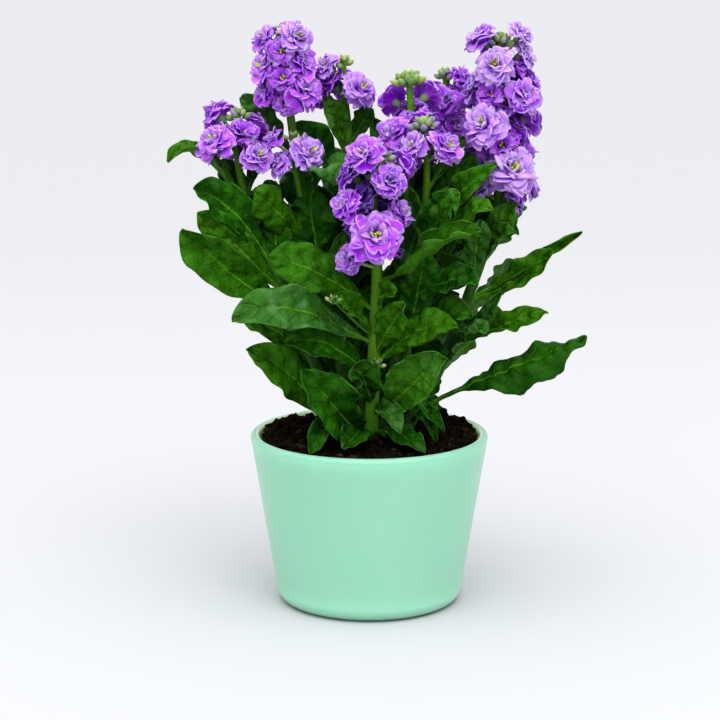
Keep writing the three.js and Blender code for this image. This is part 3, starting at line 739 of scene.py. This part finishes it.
def add_calyx(greens, root, centre, out, radius, draw):
    """A flower's stalk, and the lobed green cup that holds the flower."""
    base = centre - out * radius * CALYX.foot
    stations, sag = CALYX.stalk_stations, CALYX.sag * radius
    add_twig(greens, root, base, sag, CALYX.stalk_radii, stations, tone=draw.random(), tip=TIPS.stalk)
    share = np.linspace(0, 1, CALYX.rows)
    girth = radius * ramp(CALYX.girth, np.sin(math.pi * share * CALYX.belly))
    depth, count = CALYX.lobes
    lobes = 1 + depth * np.cos(count * circle(CALYX.sides)) * share[:, None]
    cup = base + out * (share[:, None] * radius * CALYX.length)
    add_tube(
        greens, cup, girth[:, None] * lobes, CALYX.sides,
        ripe=ramp(CALYX.ripe, share), tone=CALYX.tone * draw.random(), tip=share - CALYX.tip,
    )


def add_heart(greens, centre, side, other, out, radius, wide_open, draw):
    """The small green middle of a flower, half as long where the flower has hardly opened."""
    girths = radius * np.array(HEART.girths)
    u = np.linspace(0, 1, len(girths))[:, None]
    for _ in range(HEART.count):
        lean = round_about(side, other, draw.uniform(0, TURN)) * radius
        reach = draw.uniform(*HEART.reach) * (1 + wide_open) / 2
        foot = centre + lean * HEART.foot
        top = centre + out * radius * reach + lean * draw.uniform(*HEART.spread)
        line = foot * (1 - u) + top * u
        add_tube(greens, line, girths, HEART.sides, ripe=0.0, tone=draw.random(), tip=TIPS.heart)


def add_flower(petals, greens, path, row, paler, draw, hidden=False, fading=False):
    """A double flower: whorls of petals, a calyx on its stalk and a green heart."""
    radius = row[3]
    root, centre, side, other, out = flower_frame(path, row)
    if hidden:
        # Hidden flowers take a low bloom, painted shade inside the head; those on a branch are faded.
        bloom = draw.uniform(*BLOOM.faded) if fading else BLOOM.hidden
    else:
        bloom = draw.random()
    whorls = WHORLS[:PETAL.hidden_whorls] if hidden else WHORLS
    for k, whorl in enumerate(whorls):
        start, count = draw.uniform(0, TURN), whorl[0]
        level = k / (len(WHORLS) - 1)
        detail = PETAL.hidden if hidden else PETAL.outer if level < 0.5 else PETAL.inner
        for i in range(count):
            turn = start + TURN * i / count + draw.uniform(*PETAL.turn)
            directions = (round_about(side, other, turn), round_about(other, -side, turn), out)
            add_petal(petals, radius, centre, directions, whorl, level, detail, bloom + paler, draw)
    add_calyx(greens, root, centre, out, radius, draw)
    wide_open = smoothstep(bloom, *BLOOM.open_over)
    add_heart(greens, centre, side, other, out, radius, wide_open, draw)


def add_buds(greens, tip, count, size, gold, draw):
    """A cluster of downy oblong buds, the outer ones larger, nodding outwards."""
    u = np.linspace(0, 1, BUD.rows)
    shape = np.sin(math.pi * ramp(BUD.span, u)) ** BUD.bluntness * (1 - BUD.taper * u)
    height, ridges = BUD.ridges
    shape = shape[:, None] * (1 + height * np.cos(ridges * circle(BUD.sides)))
    for i in range(count):
        share = i / (count - 1)
        away = spoke(i * SPIRAL)
        tilt = math.radians(ramp(BUD.tilt, share) + draw.uniform(*BUD.tilt_vary))
        aim = round_about(UP, away, tilt)
        length = size * BUD.length * ramp(BUD.lengths, share) * draw.uniform(*BUD.length_vary)
        girth = size * BUD.radius * ramp(BUD.girths, share) * draw.uniform(*BUD.girth_vary)
        foot = tip + away * BUD.seat - UP * (BUD.drop * share * size)
        start = foot + aim * ramp(BUD.stalk, share) * size
        stalk = np.stack([foot, (foot + start) / 2, start + aim * BUD.sunk])
        radii, sides, tone = BUD.stalk_radii, BUD.stalk_sides, draw.random()
        add_tube(greens, stalk, radii, sides, ripe=0.0, tone=tone, tip=TIPS.stalk)
        own = min(1, gold * draw.uniform(*BUD.gold_vary))
        ripe = ramp(BUD.ripe, share * draw.random()) * (1 - own) - own
        body = start + aim * (u[:, None] * length)
        add_tube(greens, body, girth * shape, BUD.sides, ripe=ripe, tone=draw.random(), tip=u)


def add_shoot(greens, path, row, draw):
    """A small side shoot that ends in a few buds."""
    join, x, y, z, count = row
    root, tip = place_on(path, join), np.array((x, y, z), float)
    stations, tone = SHOOT.stations, SHOOT.tone
    add_twig(greens, root, tip, SHOOT.sag, SHOOT.radii, stations, tone=tone, tip=TIPS.stem)
    add_buds(greens, tip, count, SHOOT.bud_size, SHOOT.gold, draw)


def add_stalk(greens, path, radii, buried, front):
    """A stem with faint ridges, a little swollen where it enters the soil."""
    centres, girth = path, np.linspace(*radii, len(path))
    if buried:
        centres = np.concatenate([[path[0] - UP * STALK.root], path])
        girth = np.concatenate([[radii[0] * STALK.flare], girth])
    turns, heights = circle(STALK.sides), centres[:, 2]
    ridges = 1 + sum(wave(sizes, heights[:, None], turns, start) for sizes, start in STALK.ridges)
    # Painted light and shade: the stem is painted paler high up, the front stem lower down, and darker
    # below inside the plant.
    strength, start, end = STALK.front_pale if front else STALK.pale
    tone = strength * smoothstep(heights, start, end)
    girth = girth[:, None] * ridges
    add_tube(greens, centres, girth, STALK.sides, ripe=0.0, tone=tone, tip=TIPS.stem)


def ring(radius, height, sides):
    """The points of a ring, with one height or a height for each side."""
    return radius * spoke(circle(sides)) + UP * np.reshape(height, (-1, 1))


def pot_radius(z):
    """The pot's outer radius at a height."""
    return POT.foot_radius + (POT.rim_radius - POT.foot_radius) * z / POT.height


def arc(radius, height, bend, start, end, steps):
    """Points of a rounded corner, whose centre is at a radius and a height."""
    turns = np.radians(np.linspace(start, end, steps + 1))
    return list(zip(radius + bend * np.cos(turns), height + bend * np.sin(turns)))


def pot_profile():
    """The pot's section as [radius, height] points: foot, wall, rounded rim, inside."""
    edge, lip, floor = POT.edge_round, POT.wall / 2, POT.floor
    foot = arc(pot_radius(edge) - edge, edge, edge, -90, POT.edge_end, POT.edge_steps)
    rim = arc(POT.rim_radius - lip, POT.height - lip, lip, 0, 180, POT.rim_steps)
    wall = np.linspace(foot[-1], rim[0], POT.wall_steps + 1)[1:-1]
    levels = (*POT.inner_levels, floor + POT.corner_rise)
    inside = [(pot_radius(z) - POT.wall, z) for z in levels]
    corner = (pot_radius(floor) - POT.wall - POT.corner_run, floor)
    return [(POT.middle, 0), *foot, *wall, *rim, *inside, corner, (POT.middle, floor)]


def make_pot(look):
    """The pot turned about its axis, its floor and underside closed at the centre."""
    sides = POT.segments
    rings = [ring(radius, height, sides) for radius, height in pot_profile()]
    points = np.concatenate([*rings, [0 * UP, UP * POT.floor]])
    height = points[:, 2]
    inside = np.hypot(points[:, 0], points[:, 1]) < pot_radius(height) - POT.glaze_depth
    pot = Gather()
    pot.add(points, ring_faces(len(rings), sides), height=height, inside=inside.astype(float))
    pot.piece("glazed_pot", look, "pot_glaze", "pot")


def soil_height(x, y):
    """The soil's surface: higher round the stems, lumpy, and heaped at the back of the rim."""
    share = math.hypot(x, y) / POT.rim_radius
    level = SOIL.level + SOIL.mound * (1 - share * share)
    ax, ay, bx, by = SOIL.lump_turns
    level += SOIL.lump * math.sin(ax * x + ay * y) * math.sin(bx * x + by * y)
    place = Vector((x, y, 0))
    height, scale = SOIL.rough
    level += height * noise.fractal(place * scale, *SOIL.fractal)
    height, scale = SOIL.grain
    level += height * noise.noise(place * scale)
    for heap_x, heap_y, spread, height in SOIL.heaps:
        level += height * math.exp(-((x - heap_x) ** 2 + (y - heap_y) ** 2) / spread ** 2)
    return level


def make_soil(look, draw):
    """The soil's fill, rough on top, and loose crumbs lying on it."""
    def reach(z):
        return pot_radius(z) - POT.wall - SOIL.clear

    sides, bottom, waist = SOIL.segments, SOIL.bottom, SOIL.waist
    corner, rim = bottom + SOIL.corner_rise, reach(SOIL.level)
    below = [
        (SOIL.middle, bottom), (reach(bottom) - SOIL.corner_run, bottom),
        (reach(corner), corner), (reach(waist), waist),
    ]
    rings = [ring(radius, height, sides) for radius, height in below]
    for k in range(SOIL.rings):
        level = ring(rim * (1 - k / SOIL.rings) ** SOIL.crowding, 0, sides)
        rings.append(level + UP * [[soil_height(x, y)] for x, y, _ in level])
    points = np.concatenate([*rings, [UP * bottom, UP * soil_height(0, 0)]])
    soil = Gather()
    soil.add(points, ring_faces(len(rings), sides), crumb=0.0)
    for _ in range(SOIL.crumbs):
        radius, turn = rim * math.sqrt(draw.random()) * SOIL.within, draw.uniform(0, TURN)
        x, y, _ = radius * spoke(turn)
        size = CRUMB.smallest + CRUMB.growth * draw.random() ** CRUMB.rarity
        centre = np.array((x, y, soil_height(x, y) + size * CRUMB.seat))
        add_crumb(soil, centre, size, draw)
    soil.piece("potting_soil", look, "soil", "soil")


def add_crumb(soil, centre, size, draw):
    """A small rough lump of soil."""
    rows, sides, pole = CRUMB.rows, CRUMB.sides, CRUMB.pole
    polar = np.linspace(pole, math.pi - pole, rows)[:, None, None]
    rough = np.array([draw.uniform(*CRUMB.rough) for _ in range(rows * sides)])
    stretch = size * np.array([draw.uniform(*ends) for ends in CRUMB.stretch])
    ball = round_about(-UP, spoke(circle(sides)), polar) * rough.reshape(rows, sides, 1)
    points = centre + stretch * np.concatenate([ball.reshape(-1, 3), [-UP, UP]])
    soil.add(points, ring_faces(rows, sides), crumb=draw.random())


class Look:
    """A material, or a world, put together from nodes."""

    def __init__(self, name, kind="materials"):
        self.owner = getattr(bpy.data, kind).new(name)
        self.owner.use_nodes = True
        self.tree = self.owner.node_tree
        self.tree.nodes.clear()

    def node(self, kind, inputs=None, **settings):
        made = self.tree.nodes.new(kind)
        for key, value in settings.items():
            setattr(made, key, value)
        for key, value in (inputs or {}).items():
            if isinstance(value, bpy.types.NodeSocket):
                self.tree.links.new(value, made.inputs[key])
            else:
                made.inputs[key].default_value = value
        return made

    def value(self, name):
        return self.node("ShaderNodeAttribute", attribute_name=name).outputs["Fac"]

    def place(self, kind="Object"):
        return self.node("ShaderNodeTexCoord").outputs[kind]

    def math(self, operation, *inputs):
        return self.node("ShaderNodeMath", dict(enumerate(inputs)), operation=operation).outputs[0]

    def times(self, a, b):
        return self.math("MULTIPLY", a, b)

    def step(self, value, low, high):
        """0 below low and 1 above high, or the reverse where low is the larger."""
        inputs = {"Value": value, "From Min": low, "From Max": high}
        return self.node("ShaderNodeMapRange", inputs, interpolation_type="SMOOTHSTEP").outputs[0]

    def mix(self, share, a, b):
        inputs = {0: share, 6: a, 7: b}
        for key in (6, 7):
            if isinstance(inputs[key], tuple):
                inputs[key] = (*inputs[key], 1)
        return self.node("ShaderNodeMix", inputs, data_type="RGBA").outputs[2]

    def tinted(self, base, tints):
        """The base with each tint mixed in, where and as strongly as the tint says."""
        for where, strength, colour in tints.values():
            base = self.mix(self.times(where, strength), base, colour)
        return base

    def summed(self, *parts):
        """The sum of values, each times its own factor."""
        whole = 0.0
        for value, factor in parts:
            whole = self.math("MULTIPLY_ADD", value, factor, whole)
        return whole

    def noise(self, scale, detail=2.0, distortion=0.0):
        inputs = {"Vector": self.place(), "Scale": scale, "Detail": detail, "Distortion": distortion}
        return self.node("ShaderNodeTexNoise", inputs).outputs["Fac"]

    def net(self, scale):
        """How far a place is from the lines of a net of cells."""
        inputs = {"Vector": self.place(), "Scale": scale}
        return self.node("ShaderNodeTexVoronoi", inputs, feature="DISTANCE_TO_EDGE").outputs[0]

    def bump(self, height, strength, distance):
        inputs = {"Height": height, "Strength": strength, "Distance": distance}
        return self.node("ShaderNodeBump", inputs).outputs["Normal"]

    def surface(self, inputs, through=None, share=0.0):
        """The shader, with a share of light let through where the piece is thin."""
        shader = self.node("ShaderNodeBsdfPrincipled", inputs).outputs[0]
        if through is not None:
            thin = {"Color": through, "Normal": inputs["Normal"]}
            lit = self.node("ShaderNodeBsdfTranslucent", thin).outputs[0]
            shader = self.node("ShaderNodeMixShader", {0: share, 1: shader, 2: lit}).outputs[0]
        self.node("ShaderNodeOutputMaterial", {"Surface": shader})
        return self.owner


def leaf_look():
    """Deep green with paler midrib, side veins and margin, greyer and paler beneath, with painted
    highlights on its raised parts, painted shade in its sunken parts and a painted sheen on grey
    leaves.
    """
    look = Look("stock_leaf")
    along, high = look.value("along"), look.value("high")
    away = look.math("ABSOLUTE", look.value("side"))
    blotch, fine = look.noise(75, 3), look.noise(420, 2)
    grey = look.step(look.value("grey"), 0.45, 1.05)
    midrib = look.step(look.value("dist"), 0.75, 0.2)
    # The side veins leave the midrib forwards and fade towards the margin
    wave = look.summed((along, LEAF.veins), (away, -LEAF.vein_slant))
    vein = look.math("ABSOLUTE", look.math("SUBTRACT", look.math("FRACT", wave), 0.5))
    vein = look.times(look.step(vein, 0.40, 0.5), look.step(away, 1.0, 0.25))
    vein = look.times(vein, look.step(along, 0.15, 0.35))
    net = look.step(look.net(330), 0.10, 0.0)
    base = look.mix(look.step(blotch, 0.36, 0.66), (0.013, 0.084, 0.001), (0.031, 0.160, 0.002))
    base = look.tinted(base, {
        # The greyer and fresher tints are partly the leaves' own colours and partly painted light on
        # leaves that catch it.
        "greyer leaf": (grey, 0.65, (0.070, 0.20, 0.045)),
        "fresher leaf": (look.value("fresh"), 0.5, (0.115, 0.31, 0.002)),
        "specks": (look.step(fine, 0.35, 0.75), 0.2, (0.07, 0.22, 0.02)),
        # Painted light: raised parts between the veins are painted lighter as highlights, and sunken
        # parts darker as shade.
        "painted highlight on raised parts": (look.step(high, 0.25, 0.95), 0.24, (0.09, 0.28, 0.016)),
        "painted shade in sunken parts": (look.step(high, 0.3, 0.02), 0.16, (0.006, 0.045, 0.001)),
        # Painted sheen: pale grey-green patches placed at random on grey leaves.
        "bloom": (look.times(grey, look.step(look.noise(110, 2), 0.45, 0.75)), 0.5, (0.20, 0.38, 0.15)),
        "side veins": (vein, 0.13, (0.12, 0.30, 0.03)),
        "vein net": (net, 0.06, (0.10, 0.27, 0.03)),
        "midrib": (look.times(midrib, look.step(along, 1.0, 0.4)), 0.75, (0.19, 0.42, 0.03)),
        "stalk": (look.step(along, 0.22, 0.08), 0.6, (0.12, 0.32, 0.02)),
        "margin": (look.step(away, 0.94, 1.0), 0.7, (0.22, 0.44, 0.13)),
        "underside": (look.value("under"), 0.3, (0.09, 0.24, 0.05)),
    })
    height = look.summed((net, -0.12), (fine, 0.3), (vein, -0.35), (look.noise(190, 1.5), 1.6))
    inputs = {
        "Base Color": base, "Roughness": look.math("MULTIPLY_ADD", blotch, 0.25, 0.32),
        "Normal": look.bump(height, 0.9, 0.0015), "Specular IOR Level": 0.2,
    }
    return look.surface(inputs, look.mix(0.5, base, (0.07, 0.30, 0.001)), 0.14)


def green_look():
    """Stalks, calyces, buds and hearts: downy green, some flushed violet towards their tips."""
    look = Look("stock_green")
    ripe, tip, tone = look.value("ripe"), look.value("tip"), look.value("tone")
    grain = look.noise(260, 3)
    # Stems run from dark green, painted shade inside the plant, to paler green, painted light.
    stem = look.mix(tone, (0.035, 0.12, 0.004), (0.12, 0.28, 0.010))
    bud = look.mix(tone, (0.17, 0.30, 0.12), (0.36, 0.44, 0.20))
    gold = look.mix(tone, (0.13, 0.20, 0.03), (0.46, 0.52, 0.07))
    gold = look.mix(look.step(tip, 0.1, 0.7), (0.06, 0.13, 0.012), gold)
    bud = look.mix(look.step(ripe, 0.0, -0.9), bud, gold)
    flush = look.times(look.step(tip, 0.35, 0.95), look.step(ripe, 0.3, 0.8))
    base = look.tinted(look.mix(look.step(tip, -0.9, -0.1), stem, bud), {
        "ripe tips": (flush, 1.0, (0.36, 0.15, 0.62)),
        "hearts": (look.step(tip, 1.1, 1.4), 1.0, (0.52, 0.56, 0.10)),
        "down": (look.step(grain, 0.3, 0.8), 0.2, (0.20, 0.38, 0.10)),
    })
    return look.surface({
        "Base Color": base, "Roughness": 0.55, "Normal": look.bump(grain, 0.4, 0.0004),
        "Sheen Weight": 0.1, "Sheen Roughness": 0.4, "Sheen Tint": (0.85, 0.95, 0.85, 1),
        "Specular IOR Level": 0.3,
    })


def petal_look():
    """Violet, painted deeper towards the claw as shade deep in the flower and darker on hidden flowers
    as shade inside the head, paler along the margin, with fine lengthwise veins.
    """
    look = Look("stock_petal")
    along, side = look.value("along"), look.value("side")
    inner, bloom = look.value("inner"), look.value("bloom")
    cloud = look.noise(170, 3)
    rim = look.times(look.step(look.math("ABSOLUTE", side), 0.8, 1.0), look.step(along, 0.35, 0.8))
    margin = look.math("MAXIMUM", rim, look.step(along, 0.9, 1.0))
    # The veins run lengthwise, closer together at the claw
    veins = look.step(look.math("SINE", look.times(side, 34.0)), 0.55, 1.0)
    base = look.mix(look.value("tone"), (0.53, 0.048, 0.92), (0.70, 0.145, 0.96))
    base = look.tinted(base, {
        "clouds": (look.step(cloud, 0.4, 0.75), 1.0, (0.78, 0.43, 0.96)),
        "inner petals": (inner, 0.35, (0.77, 0.56, 0.93)),
        # Paler with the bloom value, which also carries the stem's tone: painted light and shade on the
        # heads.
        "open flower": (look.step(bloom, 0.25, 1.2), 0.62, (0.80, 0.68, 0.95)),
        # Painted shade: the claws, deep in the flower, are painted a deeper violet.
        "claw": (look.step(along, 0.75, 0.25), 0.45, (0.40, 0.012, 0.82)),
        "innermost petals": (look.step(inner, 0.55, 1.0), 0.55, (0.79, 0.70, 0.93)),
        # Below 0 a flower is painted dark indigo: faded flowers on a branch for their colour, hidden
        # flowers as painted shade.
        "faded flowers and painted shade on hidden ones": (look.step(bloom, 0.0, -1.0), 0.75, (0.12, 0.07, 0.45)),
        "foot": (look.step(along, 0.28, 0.06), 0.8, (0.62, 0.66, 0.30)),
        "margin": (margin, 0.72, (0.84, 0.80, 0.95)),
        "veins": (veins, 0.18, (0.28, 0.035, 0.64)),
    })
    height = look.summed((veins, 0.5), (cloud, 1.0))
    inputs = {
        "Base Color": base, "Roughness": 0.6, "Normal": look.bump(height, 0.35, 0.0005),
        "Specular IOR Level": 0.05,
    }
    return look.surface(inputs, look.mix(0.5, base, (0.70, 0.08, 0.97)), 0.34)


def soil_look():
    """Near-black brown, with lighter grains and crumbs."""
    look = Look("potting_soil")
    coarse, fine = look.noise(140, 5), look.noise(900, 4)
    base = look.mix(look.step(coarse, 0.3, 0.7), (0.002, 0.0013, 0.0007), (0.017, 0.0105, 0.0050))
    base = look.tinted(base, {
        "grains": (look.step(fine, 0.5, 0.72), 0.65, (0.075, 0.050, 0.025)),
        "crumbs": (look.step(look.value("crumb"), 0.5, 1.0), 0.75, (0.095, 0.060, 0.028)),
    })
    normal = look.bump(look.summed((coarse, 1.0), (fine, 1.0)), 0.9, 0.0012)
    return look.surface({
        "Base Color": base, "Roughness": 0.95, "Normal": normal, "Specular IOR Level": 0.15,
    })


def pot_look():
    """Milky mint green, smooth and glossy, with faint cloudy depth, painted light on the upper inner
    wall and painted shade on the rim.
    """
    look = Look("mint_glaze")
    height, inside = look.value("height"), look.value("inside")
    # How strongly the rim is painted darker as painted shade against the light it catches: much
    # outside, little inside.
    outer = look.math("MULTIPLY_ADD", inside, -0.6, 0.75)
    base = look.mix(look.noise(14, 2, 0.4), (0.30, 0.58, 0.43), (0.355, 0.63, 0.48))
    base = look.tinted(base, {
        "upper part": (look.step(height, 0, POT.height), 0.25, (0.31, 0.60, 0.415)),
        "foot": (look.step(height, 13, 11), 0.22, (0.37, 0.67, 0.51)),
        # Painted light: the upper inner wall is painted almost white-green, as if lit through the milky
        # wall.
        "painted light on the inner wall": (look.times(inside, look.step(height, 60, 80)), 0.95, (0.80, 1.0, 0.66)),
        # Painted shade: the rim is painted darker than the wall.
        "rim": (look.step(height, 90.2, 93), outer, (0.23, 0.47, 0.34)),
    })
    return look.surface({
        "Base Color": base, "Roughness": 0.32, "Coat Weight": 0.14, "Coat Roughness": 0.12,
        "Subsurface Weight": 0.6, "Subsurface Radius": (0.7, 1.0, 0.8), "Subsurface Scale": 0.012,
        "Normal": look.bump(look.noise(700, 2), 0.03, 0.0002),
    })


def make_stem(name, path, inner, looks, draw):
    """A stem with its buds and leaves, and the petals and green parts of its flowers."""
    stem = STEMS[name]
    # A stem's tone paints its flowers paler or deeper, as painted light and shade on the heads.
    branch, paler = "joins" in stem, stem.get("tone", 0.0)
    leafy_stem, head = "leafy_stem_" + stem.get("joins", name), "flower_head_" + name
    leaves, stalk, petals, calyces = Gather(), Gather(), Gather(), Gather()
    add_stalk(stalk, path, stem["radius"], not branch, name == "front")
    add_buds(stalk, path[-1], *stem["buds"], draw)
    for row in stem.get("shoots", []):
        add_shoot(stalk, path, row, draw)
    for row in stem["leaves"]:
        add_leaf(leaves, path, row, draw)
    for row in inner:
        add_leaf(leaves, path, row, draw, INNER.detail)
    for row in stem["flowers"]:
        add_flower(petals, calyces, path, row, paler, draw)
    for row in stem.get("small_flowers", []) + inner_flowers(stem, path, draw):
        add_flower(petals, calyces, path, row, paler, draw, hidden=True, fading=branch)
    stalk.piece("stalk_" + name, looks["green"], "leaf", leafy_stem)
    if stem["leaves"]:
        leaves.piece("leaves_" + name, looks["leaf"], "leaf", leafy_stem)
    petals.piece("petals_" + name, looks["petal"], "petal", head)
    calyces.piece("calyces_" + name, looks["green"], "leaf", head)


LOOKS = {"leaf": leaf_look(), "green": green_look(), "petal": petal_look()}
PATHS = {name: smooth_path(stem["path"], STALK.stations) for name, stem in STEMS.items()}
LEAFY_PATHS = {name: path for name, path in PATHS.items() if STEMS[name]["leaves"]}
INNER_LEAVES = inner_leaves(LEAFY_PATHS, random.Random(SEEDS.inner_leaves))
for order, (name, path) in enumerate(PATHS.items()):
    make_stem(name, path, INNER_LEAVES.get(name, []), LOOKS, random.Random(SEEDS.stems + order))
make_pot(pot_look())
make_soil(soil_look(), random.Random(SEEDS.soil))

# The camera stands where the photograph was taken from. Its aim and distance are in
# millimetres; the floor and the window have their sizes and places in metres.
CAMERA = Sizes(aim=(-5.1, 0, 134), distance=1200, pitch=11.4, lens=110)
FLOOR = Sizes(
    half=14, change_over=(-0.2, 1.6), near=(0.515, 0.518, 0.527),
    far=(0.470, 0.468, 0.476), roughness=0.9,
)
SKY = Sizes(
    even=0.66, lamp=1.5, sharpness=2.5, toward=(-0.02, -0.42, 0.91),
    colour=(0.97, 0.975, 1.0, 1),
)
WINDOW = Sizes(
    place=(0.4, -1.1, 1.6), aim=(0, 0, 0.17), size=0.8, power=4,
    colour=(1.0, 0.99, 0.97),
)


def make_camera():
    pitch = math.radians(CAMERA.pitch)
    back = Vector((0, -math.cos(pitch), math.sin(pitch)))
    camera = add_object("camera", bpy.data.cameras.new("camera"))
    camera.data.lens = CAMERA.lens
    camera.location = (Vector(CAMERA.aim) + back * CAMERA.distance) * MM
    camera.rotation_euler = (math.pi / 2 - pitch, 0, 0)
    bpy.context.scene.camera = camera


def make_stage():
    """A wide pale floor, painted a little darker far behind the plant as shade where less light
    reaches.
    """
    half = FLOOR.half
    corners = [(-half, -half, 0), (half, -half, 0), (half, half, 0), (-half, half, 0)]
    mesh = bpy.data.meshes.new("floor")
    mesh.from_pydata(corners, [], [(0, 1, 2, 3)])
    look = Look("pale_floor")
    back = look.node("ShaderNodeSeparateXYZ", {0: look.place()}).outputs["Y"]
    # Painted shade: the floor darkens far behind the plant.
    tone = look.mix(look.step(back, *FLOOR.change_over), FLOOR.near, FLOOR.far)
    mesh.materials.append(look.surface({"Base Color": tone, "Roughness": FLOOR.roughness}))
    add_object("floor", mesh)


def make_sky():
    """A pale sky, brightest above and in front, as from a large soft lamp."""
    look = Look("studio", "worlds")
    inputs = {0: look.place("Generated"), 1: SKY.toward}
    toward = look.node("ShaderNodeVectorMath", inputs, operation="DOT_PRODUCT").outputs["Value"]
    lamp = look.math("POWER", look.math("MAXIMUM", toward, 0), SKY.sharpness)
    strength = look.math("MULTIPLY_ADD", lamp, SKY.lamp, SKY.even)
    sky = look.node("ShaderNodeBackground", {"Color": SKY.colour, "Strength": strength})
    look.node("ShaderNodeOutputWorld", {"Surface": sky.outputs[0]})
    bpy.context.scene.world = look.owner


def make_window():
    """A soft lamp above the right front."""
    light = add_object("window", bpy.data.lights.new("window", "AREA"))
    light.data.size = WINDOW.size
    light.data.energy = WINDOW.power
    light.data.color = WINDOW.colour
    light.location = WINDOW.place
    aim = Vector(WINDOW.aim) - Vector(WINDOW.place)
    light.rotation_euler = aim.to_track_quat("-Z", "Y").to_euler()


make_camera()
make_stage()
make_sky()
make_window()
bpy.context.scene.view_settings.view_transform = "Standard"
bpy.context.scene.view_settings.look = "High Contrast"
bpy.context.scene.view_settings.exposure = 0.0
